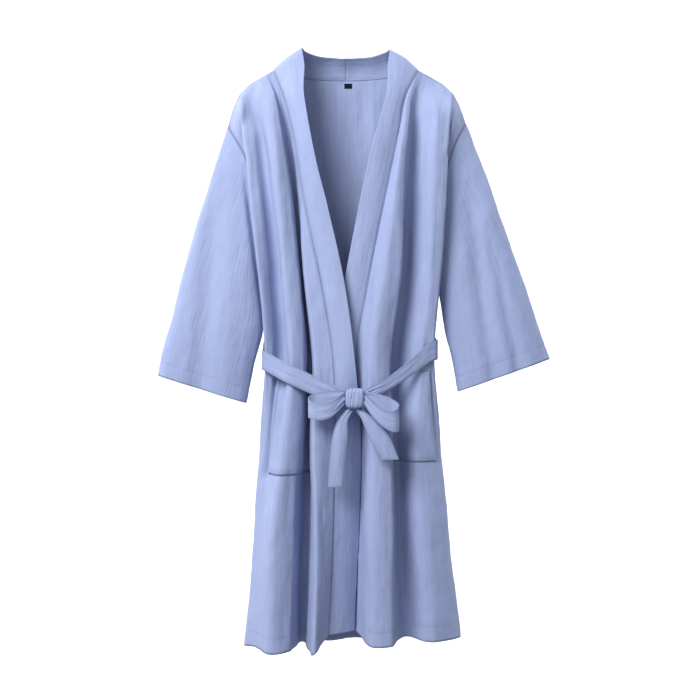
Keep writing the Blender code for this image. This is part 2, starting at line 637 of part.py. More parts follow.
def strap_sheet(table):
    """A strap standing on edge along a way of x, y, top and bottom rows, cut finer by a smooth curve."""
    table = np.array(table, float)
    length = np.concatenate(((0,), np.cumsum(np.linalg.norm(np.diff(table[:, :2], axis=0), axis=1))))
    grid = []
    for at in np.linspace(0, length[-1], 2 * len(table) - 1):
        x, y, top, low = (smooth(length, table[:, i], at) for i in range(4))
        grid.append([(x, y, top + (low - top) * k / 3) for k in range(4)])
    return Sheet(grid, BAND)


def tail_sheet(table):
    """A hanging end of the sash: rows of height, left, right and depth, a little curled across."""
    table = np.array(table, float)
    grid = []
    for at in np.linspace(table[0, 0], table[-1, 0], 2 * len(table) - 1):
        left, right, y = (smooth(table[:, 0], table[:, i], at) for i in range(1, 4))
        row = []
        for k in range(5):
            t = k / 4
            row.append((left + (right - left) * t, y - 3.0 * math.sin(math.pi * t), at))
        grid.append(row)
    return Sheet(grid, BAND)


def knot_object():
    """The knot: a soft block with flat flanks and the upright folds of the wrapped strap on its front."""
    rings, around = 10, 20
    points = []
    for r in range(rings + 1):
        lat = math.pi * 0.94 * (r / rings - 0.5)
        for a in range(around):
            turn = 2 * math.pi * a / around
            cx, cy = math.cos(turn), math.sin(turn)
            wide = math.cos(lat) ** 0.35
            x = KNOT["w"] * math.copysign(abs(cx) ** 0.4, cx) * wide
            y = KNOT["d"] * math.copysign(abs(cy) ** 0.75, cy) * wide
            if cy < 0:
                y += 1.6 * math.cos(x / KNOT["w"] * 3 * math.pi) * wide
            z = KNOT["h"] * math.copysign(abs(math.sin(lat)) ** 0.8, math.sin(lat))
            points.append((KNOT["x"] + x, KNOT["y"] + y, KNOT["z"] + z))
    faces = []
    for r in range(rings):
        for a in range(around):
            b = (a + 1) % around
            faces.append((r * around + a, r * around + b, (r + 1) * around + b, (r + 1) * around + a))
    faces.append(tuple(range(around)))
    faces.append(tuple(rings * around + a for a in range(around)))
    return new_object("belt_knot", points, faces, BLUE, 0.85)


def label_sheet(back):
    """The bare tag: the back panel's points under the neck seam, moved in."""
    inner = back.faces()[1]
    cols = inner[0, :, 0]
    rows = []
    for z in (LABEL["top"], LABEL["top"] - LABEL["height"] / 2, LABEL["top"] - LABEL["height"]):
        row = []
        for x in (LABEL["x"] - LABEL["width"] / 2, SEAM / 2, LABEL["x"] + LABEL["width"] / 2):
            c = float(np.interp(x, cols, range(len(cols))))
            line = np.array([between(inner, r, c) for r in np.linspace(0, LABEL_ROWS, 17)])
            y = float(np.interp(-z, -line[:, 2], line[:, 1]))
            row.append((x, y - LIFT - LABEL["wall"] / 2, z))
        rows.append(row)
    return Sheet(rows, LABEL["wall"])


def build():
    """All the pieces of the robe."""
    for obj in list(bpy.data.objects):
        bpy.data.objects.remove(obj, do_unlink=True)
    front_right, front_left, back = body_sheets()
    sleeve_right = Sheet(sleeve_grid(ARMHOLE_RIGHT, SLEEVE_RIGHT), CLOTH, closed=True, flip=True)
    sleeve_left = Sheet(sleeve_grid(ARMHOLE_LEFT, SLEEVE_LEFT), CLOTH, closed=True)
    sew_sleeve(sleeve_right, front_right, back, 0)
    sew_sleeve(sleeve_left, front_left, back, -1)
    bands = []
    for front, edge, sign in ((front_right, BAND_RIGHT, -1), (front_left, BAND_LEFT, 1)):
        grid, keys = band_grid(front, back, edge, sign)
        band = Sheet(grid, BAND, flip=sign < 0)
        sew_band(band, keys, front, back)
        tops = list(back.grid[0, :, 0])
        column = min(range(len(tops)), key=lambda c: abs(tops[c] - sign * NECK_POINT))
        meet_at_neck_point(front, back, column, band, keys.index(("front", 0)))
        bands.append(band)
    pocket_right = pocket_sheet(front_right, POCKET_RIGHT)
    pocket_left = pocket_sheet(front_left, POCKET_LEFT)
    sash = sash_sheet((front_right, front_left, back, bands[0], pocket_right, pocket_left))
    wall_object("back", back)
    wall_object("front_right", front_right)
    wall_object("front_left", front_left)
    wall_object("sleeve_right", sleeve_right)
    wall_object("sleeve_left", sleeve_left)
    wall_object("collar_right", bands[0])
    wall_object("collar_left", bands[1])
    wall_object("pocket_right", pocket_right)
    wall_object("pocket_left", pocket_left)
    wall_object("belt", sash)
    knot_object()
    wall_object("bow_loop_right", strap_sheet(LOOP_RIGHT))
    wall_object("bow_loop_left", strap_sheet(LOOP_LEFT))
    wall_object("belt_tail_right", tail_sheet(TAIL_RIGHT))
    wall_object("belt_tail_left", tail_sheet(TAIL_LEFT))
    wall_object("neck_label", label_sheet(back), NAVY, 0.6)


build()
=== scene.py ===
"""Looks of the long kimono robe: its cloth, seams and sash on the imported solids, in a plain studio.

The tables are millimetres in the frame of the solids: +X is the wearer's left, the front faces -Y, +Z is up.
"""
from __future__ import annotations

import logging
import math
from dataclasses import dataclass
from enum import Enum

import bmesh
import bpy
import numpy as np
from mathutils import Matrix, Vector, noise

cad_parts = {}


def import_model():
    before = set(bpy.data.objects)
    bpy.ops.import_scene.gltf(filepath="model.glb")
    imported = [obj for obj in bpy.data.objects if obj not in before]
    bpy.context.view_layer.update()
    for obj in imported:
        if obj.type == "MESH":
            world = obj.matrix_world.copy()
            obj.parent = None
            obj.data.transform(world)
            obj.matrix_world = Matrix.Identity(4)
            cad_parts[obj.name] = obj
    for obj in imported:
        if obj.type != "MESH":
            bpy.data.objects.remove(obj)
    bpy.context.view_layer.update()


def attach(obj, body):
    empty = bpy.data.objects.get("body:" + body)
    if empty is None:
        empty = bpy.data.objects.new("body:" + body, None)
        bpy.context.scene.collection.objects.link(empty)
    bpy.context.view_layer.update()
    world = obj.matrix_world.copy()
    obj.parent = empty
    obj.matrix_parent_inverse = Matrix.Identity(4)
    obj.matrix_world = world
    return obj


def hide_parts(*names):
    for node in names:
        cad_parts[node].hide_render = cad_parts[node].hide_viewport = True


LOG = logging.getLogger("robe")
MM = 0.001

NECK_POINT = 138.0
NECK_DEPTH = 60.0
NECK_DROP = 9.0
NECK_TOP = 3.0
HEM = -1090.0
WAIST = -545.0
BUST = -250.0
LEVELS = (-50, -110, -246, -400, -545, -700, -900, -1090)
ROWS = np.array((0, -25, -58, -98, -148, -198, -248, -296, -335, -395, -455, -515, -575, -640, -700, -746,
                 -767, -840, -910, -980, -1040, -1090), float)
ARM_ROWS = 9
ROW_STEP = 5.0
SHOULDER = ((-226.5, -106), (-221, -86), (-214, -64), (-203, -42), (-184, -24), (-157, -8), (-138, 3),
            (138, 3), (159, -8), (186, -24), (205, -42), (216, -61), (224, -82), (230, -101))

SOLID_WALL = 1.6
CLOTH_WALL = 1.2
POCKET_WALL = 0.8
POCKET_LIFT = CLOTH_WALL + 0.4
BAND_WALL = 2.4
STRAP_WALL = BAND_WALL * 0.85
LIFT = 0.5
EDGE_ROUNDING = 0.3
FAR_OFF = 1000.0
SOLID_POCKET_LIFT = 1.95
HALF_SOLID_BAND = 1.5

TOP_FADE = 1.15
TOP_BLEND = 25.0
ARM_BLEND = 60.0
SIDE_STRIPS = 2
LEAST_TURN = 0.05
SEWN_EDGE = 2.5
WANDER_SPREAD = 30

# Waves of the relief: their sizes along x, y and z, and a shift that makes each its own.
NOISE_GAIN = 1.6
DRAPE_WAVES = ((34, 34, 170), 3.1)
FLUTTER_WAVES = ((19, 19, 90), 7.7)
CRUMPLE_WAVES = ((13, 13, 26), 11.3)
GATHER_WAVES = ((8, 8, 120), 23.9)
PUCKER_WAVES = ((9, 9, 11), 31.0)
HEM_WAVES = ((26, 26, 60), 41.0)
# How far from the sash or an edge the relief reaches, and the groove of the turned hem.
GATHER_REACH = 42.0
PUCKER_REACH = 9.0
PUFF_RISE = 2.0
PUFF_REACH = 7.0
HEM_REACH = 28.0
HEM_TURN = 27.0
HEM_GROOVE = 0.45
HEM_GROOVE_WIDTH = 3.5


class Side(Enum):
    """The wearer's side that a piece belongs to."""

    RIGHT = -1
    LEFT = 1


class Face(Enum):
    """Front or rear of the robe."""

    FRONT = -1
    BACK = 1


class Slot(Enum):
    """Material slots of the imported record."""

    CLOTH = "cloth"
    LABEL = "label"


class Held(Enum):
    """How a sheet of cloth is held."""

    HUNG = "hung"
    STRETCHED = "stretched"
    FOLDED = "folded"


def hermite(t: np.ndarray, span: np.ndarray, start: np.ndarray, stop: np.ndarray, leave: np.ndarray,
            arrive: np.ndarray) -> np.ndarray:
    """Smooth way from one point to the next.

    Args:
        t: Shares of the way, 0 to 1.
        span: Length of the way.
        start: First point.
        stop: Last point.
        leave: Slope at the first point.
        arrive: Slope at the last point.

    Returns:
        The points at those shares.
    """
    return ((2 * t**3 - 3 * t**2 + 1) * start + (t**3 - 2 * t**2 + t) * span * leave
            + (3 * t**2 - 2 * t**3) * stop + (t**3 - t**2) * span * arrive)


def curve(keys: np.ndarray, values: np.ndarray, at: np.ndarray) -> np.ndarray:
    """Read a smooth curve through given values.

    Args:
        keys: Places of the values, rising or falling.
        values: The values, one number or one point for each key.
        at: Places to read.

    Returns:
        The values at those places, flat beyond both ends.
    """
    keys = np.asarray(keys, float)
    values = np.asarray(values, float)
    if keys[0] > keys[-1]:
        keys, values = keys[::-1], values[::-1]
    slope = np.gradient(values, keys, axis=0)
    at = np.clip(np.asarray(at, float), keys[0], keys[-1])
    i = np.clip(np.searchsorted(keys, at, side="right") - 1, 0, len(keys) - 2)
    span = keys[i + 1] - keys[i]
    t = (at - keys[i]) / span
    if values.ndim > 1:
        span, t = span[..., None], t[..., None]
    return hermite(t, span, values[i], values[i + 1], slope[i], slope[i + 1])


def ease(values: np.ndarray) -> np.ndarray:
    """Smooth step from 0 to 1 over the values 0 to 1."""
    t = np.clip(values, 0.0, 1.0)
    return t * t * (3 - 2 * t)


def unit(vectors: np.ndarray) -> np.ndarray:
    """Vectors on the last axis brought to length 1."""
    return vectors / np.maximum(np.linalg.norm(vectors, axis=-1, keepdims=True), 1e-9)


def run_length(points: np.ndarray) -> np.ndarray:
    """Length along a line of points from its first one."""
    return np.concatenate(((0,), np.cumsum(np.linalg.norm(np.diff(points, axis=0), axis=1))))


def grid(x: np.ndarray, y: np.ndarray, z: np.ndarray) -> np.ndarray:
    """Points from coordinates that spread to rows by columns."""
    return np.stack(np.broadcast_arrays(x, y, z), axis=-1)


def ripple(points: np.ndarray, sizes: tuple[float, float, float], seed: float) -> np.ndarray:
    """Soft uneven relief at points, about -1 to 1, with waves of the given sizes along x, y and z."""
    flat = points.reshape(-1, 3) / np.array(sizes) + seed
    return np.array([noise.noise(Vector(p)) for p in flat]).reshape(points.shape[:-1]) * NOISE_GAIN


def top_point(x: np.ndarray) -> np.ndarray:
    """Points of the shoulder seam and the back neck seam.

    Args:
        x: Places across the body.

    Returns:
        One point for each place.
    """
    x = np.asarray(x, float)
    part = np.clip(np.abs(x) / NECK_POINT, 0, 1)
    inside = np.abs(x) < NECK_POINT
    shoulder = np.interp(x, [p[0] for p in SHOULDER], [p[1] for p in SHOULDER])
    y = np.where(inside, NECK_DEPTH * np.sqrt(1 - part**2), 0.0)
    z = np.where(inside, NECK_TOP - NECK_DROP * (1 - part**2), shoulder)
    return np.stack((x, y, z), axis=-1)


def fine_rows() -> np.ndarray:
    """Nominal heights of the body rows.

    Returns:
        The heights, each row of the solids among them.
    """
    heights = []
    for upper, lower in zip(ROWS, ROWS[1:]):
        count = max(1, round((upper - lower) / ROW_STEP))
        heights.extend(upper + (lower - upper) * k / count for k in range(count))
    return np.array(heights + [ROWS[-1]])


def row_place(nominal: np.ndarray) -> np.ndarray:
    """Row number, with its fraction, of nominal heights."""
    return np.interp(-nominal, -ROWS, np.arange(len(ROWS)))


@dataclass(frozen=True)
class FoldLine:
    """A fold that runs down a body panel."""

    name: str
    top: float
    hem: float
    steps: int
    crisp: float
    x: tuple[float, ...]
    y: tuple[float, ...]

    def points(self, nominal: np.ndarray) -> np.ndarray:
        """Points of the fold.

        Args:
            nominal: Nominal heights of the rows.

        Returns:
            One point for each row.
        """
        start = top_point(np.array([self.top]))[0]
        fade = np.clip((nominal - BUST) / -BUST, 0, None) ** TOP_FADE
        low = np.clip((WAIST - nominal) / (WAIST - HEM), 0, None)
        z = nominal + start[2] * fade + (self.hem - HEM) * low**2
        keys = (start[2],) + LEVELS
        at = np.maximum(z, HEM)
        x, y = (curve(keys, (first,) + line, at) for first, line in zip(start, (self.x, self.y)))
        return np.stack((x, y, z), axis=-1)


@dataclass(frozen=True)
class SideSeam:
    """The armhole of a panel and the side seam below it."""

    armhole: tuple[tuple[float, float, float], ...]
    below: tuple[tuple[float, float], ...]
    hem: float

    def armhole_points(self, place: np.ndarray) -> np.ndarray:
        """Points of the front half of the armhole at row numbers."""
        return curve(np.arange(ARM_ROWS), np.array(self.armhole, float), place)

    def points(self, nominal: np.ndarray, face: Face) -> np.ndarray:
        """Points of the edge of a panel.

        Args:
            nominal: Nominal heights of the rows.
            face: Front or rear.

        Returns:
            One point for each row.
        """
        arm = self.armhole_points(np.minimum(row_place(nominal), ARM_ROWS - 1)) * (1, -face.value, 1)
        last = ROWS[ARM_ROWS - 1]
        low = np.clip((WAIST - nominal) / (WAIST - HEM), 0, None)
        z = nominal + (self.hem - HEM) * low**2
        z += (self.armhole[-1][2] - last) * np.clip(1 - (last - nominal) / ARM_BLEND, 0, 1)
        x = curve([row[0] for row in self.below], [row[1] for row in self.below], z)
        return np.where((nominal >= last)[:, None], arm, grid(x, 0.0, z))


def section(points: np.ndarray, steps: list[int], crisp: np.ndarray) -> np.ndarray:
    """Smooth curves across a panel through its folds.

    Args:
        points: Fold points, rows by folds.
        steps: Strips between each fold and the next.
        crisp: Sharpness of each fold, 0 soft and 1 sharp.

    Returns:
        The grid of points, rows by strips.
    """
    length = np.linalg.norm(np.diff(points, axis=1), axis=2)[..., None]
    ahead = np.diff(points, axis=1) / length
    tangent = np.zeros_like(points)
    tangent[:, 0], tangent[:, -1] = ahead[:, 0], ahead[:, -1]
    weight = length[:, 1:] / (length[:, 1:] + length[:, :-1])
    mean = ahead[:, 1:] * (1 - weight) + ahead[:, :-1] * weight
    size = np.sqrt(np.maximum(np.linalg.norm(mean, axis=2, keepdims=True), LEAST_TURN))
    tangent[:, 1:-1] = mean / size * (1 - crisp[1:-1])[None, :, None]
    parts = [points[:, :1]]
    for i, count in enumerate(steps):
        t = (np.arange(1, count + 1) / count)[None, :, None]
        parts.append(hermite(t, length[:, i, None], points[:, i, None], points[:, i + 1, None],
                             tangent[:, i, None], tangent[:, i + 1, None]))
    return np.concatenate(parts, axis=1)


@dataclass
class Surface:
    """A grid of cloth points with the distances to its edges, all in millimetres."""

    points: np.ndarray
    outward: int = 1
    closed: bool = False
    seam: np.ndarray | None = None
    hem: np.ndarray | None = None

    def normals(self) -> np.ndarray:
        """Outward normals at the points.

        Returns:
            Vectors of length 1.
        """
        if self.closed:
            across = np.roll(self.points, -1, axis=1) - np.roll(self.points, 1, axis=1)
        else:
            across = np.gradient(self.points, axis=1)
        return unit(np.cross(across, np.gradient(self.points, axis=0))) * self.outward

    def across(self) -> np.ndarray:
        """Length along each row from its first point."""
        step = np.linalg.norm(np.diff(self.points, axis=1), axis=2)
        return np.concatenate((np.zeros((len(step), 1)), np.cumsum(step, axis=1)), axis=1)

    def down(self) -> np.ndarray:
        """Length along each column from its first point."""
        step = np.linalg.norm(np.diff(self.points, axis=0), axis=2)
        return np.concatenate((np.zeros((1, step.shape[1])), np.cumsum(step, axis=0)), axis=0)

    def sides(self) -> np.ndarray:
        """Distance of each point to the nearer end of its row."""
        across = self.across()
        return np.minimum(across, across[:, -1:] - across)

    def ends(self) -> tuple[np.ndarray, np.ndarray]:
        """Distances of each point to the first and to the last row."""
        down = self.down()
        return down, down[-1:] - down

    def moved(self, height: np.ndarray) -> Surface:
        """The surface with its points moved out by the given heights."""
        points = self.points + self.normals() * height[..., None]
        return Surface(points, self.outward, self.closed, self.seam, self.hem)


@dataclass(frozen=True)
class SashLevel:
    """Height of the sash along its way, which the folds of the body gather at."""

    front: tuple[tuple[float, float, float], ...] = (
        (-170, -553, 18.5), (-157, -553, 18.5), (-110, -577, 18.5), (-60, -600, 18), (-2, -621, 13),
        (34, -617, 9), (70, -603, 11), (110, -576, 15), (160, -537, 18.5), (190, -529, 18.5))
    half: float = 18.5
    back_z: float = -526.0

    def at(self, points: np.ndarray) -> tuple[np.ndarray, np.ndarray]:
        """Middle height and half width of the sash beside points.

        Args:
            points: Points, last axis x, y, z or x, y.

        Returns:
            The heights and the half widths.
        """
        keys = [row[0] for row in self.front]
        z = np.interp(points[..., 0], keys, [row[1] for row in self.front])
        half = np.interp(points[..., 0], keys, [row[2] for row in self.front])
        turn = ease((points[..., 1] + 30) / 90.0)
        return z + (self.back_z - z) * turn, half + (self.half - half) * turn


@dataclass(frozen=True)
class Crease:
    """A long crease down a piece: a trough, or a ridge where its depth is negative."""

    way: tuple[tuple[float, float], ...]
    width: float
    depth: float
    fade: float = 45.0

    def depth_at(self, points: np.ndarray) -> np.ndarray:
        """How deep the crease lies at points.

        Args:
            points: Points in millimetres, last axis x, y, z.

        Returns:
            The depths in millimetres.
        """
        z = np.array([row[1] for row in self.way])
        middle = np.interp(-points[..., 2], -z, np.array([row[0] for row in self.way]))
        ends = ease((z[0] - points[..., 2]) / self.fade) * ease((points[..., 2] - z[-1]) / self.fade)
        return self.depth * ends * np.exp(-(((points[..., 0] - middle) / self.width) ** 2))


@dataclass(frozen=True)
class Relief:
    """Uneven relief of worn cloth, in millimetres, laid over the main folds."""

    drape: float = 1.7
    crumple: float = 0.5
    cinch: float = 2.6
    puff: float = 0.9
    pucker: float = 0.7
    wave: float = 1.2
    seed: float = 0.0
    creases: tuple[Crease, ...] = ()
    sash: SashLevel = SashLevel()

    def ripple(self, points: np.ndarray, waves: tuple[tuple[float, float, float], float]) -> np.ndarray:
        """Unevenness with the given waves, shifted by the piece's own seed."""
        return ripple(points, waves[0], waves[1] + self.seed)

    def height(self, surface: Surface) -> np.ndarray:
        """Relief of a surface, none along its sewn edges.

        Args:
            surface: The smooth surface with its edge distances.

        Returns:
            Height for each point, outwards positive.
        """
        points = surface.points
        total = self.drape * self.ripple(points, DRAPE_WAVES)
        total += self.drape * 0.5 * self.ripple(points, FLUTTER_WAVES)
        total += self.crumple * self.ripple(points, CRUMPLE_WAVES)
        if self.cinch:
            z, half = self.sash.at(points)
            near = np.exp(-np.clip(np.abs(points[..., 2] - z) - half, 0, None) / GATHER_REACH)
            creases = 0.5 + 0.5 * self.ripple(points, GATHER_WAVES)
            total = total * (1 - near) - np.abs(total) * near * 0.5 - self.cinch * near * creases
        for crease in self.creases:
            total -= crease.depth_at(points)
        sewn = surface.seam
        if sewn is not None:
            total += self.pucker * self.ripple(points, PUCKER_WAVES) * np.exp(-sewn / PUCKER_REACH)
            puff = self.puff * (1 - np.exp(-sewn / PUFF_RISE)) * np.exp(-sewn / PUFF_REACH)
            total = total * ease(sewn / PUFF_REACH) + puff
        if surface.hem is not None:
            total += self.wave * self.ripple(points, HEM_WAVES) * np.exp(-surface.hem / HEM_REACH)
            total -= HEM_GROOVE * np.exp(-(((surface.hem - HEM_TURN) / HEM_GROOVE_WIDTH) ** 2))
        return total

    def on(self, surface: Surface) -> Surface:
        """The surface with this relief laid over it."""
        return surface.moved(self.height(surface))


def show(name: str, data: bpy.types.ID) -> bpy.types.Object:
    """Put something in the scene.

    Args:
        name: Name of the object.
        data: Its mesh, light or camera.

    Returns:
        The object.
    """
    thing = bpy.data.objects.new(name, data)
    bpy.context.scene.collection.objects.link(thing)
    return thing


def show_mesh(mesh: bpy.types.Mesh, material: bpy.types.Material) -> bpy.types.Object:
    """Put a mesh in the scene, shaded smooth.

    Args:
        mesh: The mesh.
        material: Its only material.

    Returns:
        The object, named as the mesh.
    """
    mesh.polygons.foreach_set("use_smooth", np.ones(len(mesh.polygons), bool))
    mesh.materials.append(material)
    return show(mesh.name, mesh)


def add_maps(mesh: bpy.types.Mesh, maps: dict[str, np.ndarray]) -> None:
    """Give a mesh its maps in metres.

    Args:
        mesh: The mesh.
        maps: For each map a pair of numbers at each vertex.
    """
    corner = np.empty(len(mesh.loops), np.int32)
    mesh.loops.foreach_get("vertex_index", corner)
    for name, values in maps.items():
        mesh.uv_layers.new(name=name).data.foreach_set("uv", values[corner].astype(np.float32).ravel())


@dataclass
class Cloth:
    """Makes the mesh of a surface, with its wall in millimetres and round edges where it is folded."""

    name: str
    surface: Surface
    wall: float
    material: bpy.types.Material
    rounded: bool = False

    def build(self) -> bpy.types.Object:
        """Make the piece.

        Returns:
            The finished object.
        """
        points = self.surface.points
        if self.surface.closed:
            points = np.concatenate((points, points[:, :1]), axis=1)
        rows, cols = points.shape[:2]
        work = bmesh.new()
        bmesh.ops.create_grid(work, x_segments=cols - 1, y_segments=rows - 1, size=1.0)
        place = np.array([vert.co[:2] for vert in work.verts])
        col = np.rint((place[:, 0] + 1) / 2 * (cols - 1)).astype(int)
        row = np.rint((1 - place[:, 1]) / 2 * (rows - 1)).astype(int)
        for vert, r, c in zip(work.verts, row, col):
            vert.co = points[r, c] * MM
        if self.surface.outward * (-1 if self.surface.closed else 1) < 0:
            bmesh.ops.reverse_faces(work, faces=work.faces)
        mesh = bpy.data.meshes.new(self.name)
        work.to_mesh(mesh)
        self.map(mesh, row, col)
        if self.surface.closed:
            work.clear()
            work.from_mesh(mesh)
            bmesh.ops.remove_doubles(work, verts=work.verts, dist=1e-6)
            work.to_mesh(mesh)
        work.free()
        piece = show_mesh(mesh, self.material)
        wall = piece.modifiers.new("wall", "SOLIDIFY")
        wall.thickness = self.wall * MM
        wall.offset = 0.0
        if self.rounded:
            fold = piece.modifiers.new("folded_edge", "BEVEL")
            fold.width = self.wall * EDGE_ROUNDING * MM
            fold.segments = 2
            fold.limit_method = "ANGLE"
            fold.angle_limit = math.radians(60)
        return piece

    def map(self, mesh: bpy.types.Mesh, row: np.ndarray, col: np.ndarray) -> None:
        """Map the cloth itself, the distance to its sewn edges and the distance to its hem.

        Args:
            mesh: The open grid.
            row: Row of each vertex.
            col: Column of each vertex.
        """
        surface = self.surface
        whole = surface
        if surface.closed:
            whole = Surface(np.concatenate((surface.points, surface.points[:, :1]), axis=1))
        shape = whole.points.shape[:2]
        u = np.broadcast_to(whole.across().mean(axis=0)[None, :], shape)
        v = np.broadcast_to(whole.down().mean(axis=1)[:, None], shape)
        maps = {"cloth": (u, v)}
        for name, distance in (("seam", surface.seam), ("hem", surface.hem)):
            if distance is None:
                distance = np.full(shape, FAR_OFF)
            elif surface.closed:
                distance = np.concatenate((distance, distance[:, :1]), axis=1)
            maps[name] = (distance, u + v)
        add_maps(mesh, {name: np.stack((first[row, col], second[row, col]), axis=1) * MM
                        for name, (first, second) in maps.items()})


@dataclass(frozen=True)
class Cut:
    """What a sheet was cut to before it was sewn: width, length and flat area in metres."""

    width: float
    length: float
    area: float | None = None
    held: Held = Held.HUNG


def settle(piece: bpy.types.Object, node: str) -> bpy.types.Object:
    """Put a piece in its CAD node's place and report it.

    Args:
        piece: The finished piece.
        node: The soft solid that it stands for.

    Returns:
        The piece.
    """
    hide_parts(node)
    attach(piece, "root")
    LOG.info("%s: %d faces", piece.name, len(piece.data.polygons))
    return piece


def sew(node: str, surface: Surface, material: bpy.types.Material, wall: float = CLOTH_WALL,
        rounded: bool = False) -> bpy.types.Object:
    """Make a piece of the robe's cloth in the place of a soft solid.

    Args:
        node: The soft solid.
        surface: Middle surface of the piece.
        material: The cloth's finish.
        wall: Thickness of the cloth in millimetres.
        rounded: Whether its edges are folds and round.

    Returns:
        The finished piece.
    """
    return settle(Cloth("cloth_" + node, surface, wall, material, rounded).build(), node)


@dataclass
class BodyPanel:
    """A body panel from shoulder to hem."""

    name: str
    lines: tuple[FoldLine, ...]
    seams: tuple[SideSeam, ...]
    face: Face
    outward: int
    cut: Cut
    fineness: int = 5
    relief: Relief = Relief()

    def smooth(self) -> Surface:
        """The main folds of the panel as a smooth surface.

        Returns:
            The surface.
        """
        nominal = fine_rows()
        points = [line.points(nominal) for line in self.lines]
        steps = [line.steps for line in self.lines[:-1]]
        crisp = [line.crisp for line in self.lines]
        for seam, first, last in zip(self.seams, (0, len(points) + 1), (0, len(steps) + 1)):
            points.insert(first, seam.points(nominal, self.face))
            steps.insert(last, SIDE_STRIPS)
            crisp.insert(first, 0.0)
        mesh = section(np.stack(points, axis=1), [count * self.fineness for count in steps], np.array(crisp))
        blend = np.clip(1 + nominal / TOP_BLEND, 0, 1) ** 2
        mesh = mesh + (top_point(mesh[0, :, 0]) - mesh[0])[None] * blend[:, None, None]
        surface = Surface(mesh, self.outward)
        top, surface.hem = surface.ends()
        surface.seam = np.minimum(surface.sides(), top)
        return surface

    def worn(self) -> Surface:
        """The panel with the relief of worn cloth."""
        return self.relief.on(self.smooth())

    def build(self, material: bpy.types.Material) -> bpy.types.Object:
        """Make the panel in the given finish."""
        return sew(self.name, self.worn(), material)


@dataclass(frozen=True)
class SleeveCrease:
    """A long crease that hangs down one face of a sleeve."""

    top: tuple[float, float]
    low: tuple[float, float]
    width: float
    depth: float
    face: Face

    def depth_at(self, points: np.ndarray, face: Face, side: Side) -> np.ndarray:
        """How deep the crease lies at points of a sleeve.

        Args:
            points: Points of the sleeve.
            face: Face of the sleeve that they lie on.
            side: The wearer's side of the sleeve.

        Returns:
            The depths in millimetres.
        """
        if face is not self.face or self.top[0] * side.value < 0:
            return np.zeros(points.shape[:-1])
        (x0, z0), (x1, z1) = self.top, self.low
        t = (points[..., 2] - z0) / (z1 - z0)
        off = (points[..., 0] - (x0 + (x1 - x0) * t)) / self.width
        return self.depth * ease(t / 0.35) * np.exp(-off * off)


@dataclass
class Sleeve:
    """A straight sleeve tube from the dropped armhole to the cuff."""

    name: str
    side: Side
    seam: SideSeam
    outer: tuple[tuple[float, float], ...]
    inner: tuple[tuple[float, float], ...]
    cut: Cut
    creases: tuple[SleeveCrease, ...]
    depth: tuple[float, ...] = (15, 21, 25, 26, 27, 27, 26)
    rings: int = 100
    around: int = 128
    round_off: float = 3.0
    straight: float = 0.55
    curved: float = 0.225
    relief: Relief = Relief(cinch=0.0, drape=1.1, crumple=0.45, seed=50.0)

    @staticmethod
    def edge(line: tuple[tuple[float, float], ...], share: float) -> np.ndarray:
        """Point on an edge of the sleeve.

        Args:
            line: The edge, from the shoulder.
            share: Share of its length.

        Returns:
            The point.
        """
        points = np.array([(x, 0.0, z) for x, z in line], float)
        length = run_length(points)
        return curve(length, points, np.array([share * length[-1]]))[0]

    def smooth(self) -> Surface:
        """The hanging tube with its long creases.

        Returns:
            The surface.
        """
        count = self.around // 2
        even = np.arange(count + 1) / count
        half = self.seam.armhole_points(even * (ARM_ROWS - 1))
        chord = half[-1] - half[0]
        own = (half - half[0]) @ chord / (chord @ chord)
        bow = half - (half[0] + chord * own[:, None])
        rings = []
        for t in np.linspace(0, 1, self.rings + 1):
            a, b = self.edge(self.outer, t), self.edge(self.inner, t)
            depth = float(curve(np.linspace(0, 1, len(self.depth)), self.depth, np.array([t]))[0])
            blend = min(1.0, t * self.round_off)
            spread = even * self.straight + (1 - np.cos(np.pi * even)) * self.curved
            s = own + (spread - own) * blend
            base = a + (b - a) * s[:, None] + bow * (1, 0, 1) * (1 - blend)
            push = depth * np.sqrt(np.clip(1 - (2 * s - 1) ** 2, 0, None))
            deep = np.abs(bow[:, 1]) * (1 - blend) + push * blend
            halves = []
            for face in (Face.FRONT, Face.BACK):
                y = deep - sum(crease.depth_at(base, face, self.side) for crease in self.creases)
                halves.append(base * (1, 0, 1) + grid(0.0, face.value * np.clip(y, 0, None), 0.0))
            rings.append(np.concatenate((halves[0], halves[1][1:-1][::-1])))
        surface = Surface(np.array(rings), -1 if self.side is Side.RIGHT else 1, closed=True)
        surface.seam, surface.hem = surface.ends()
        return surface

    def build(self, material: bpy.types.Material) -> bpy.types.Object:
        """Make the sleeve in the given finish."""
        return sew(self.name, self.relief.on(self.smooth()), material)


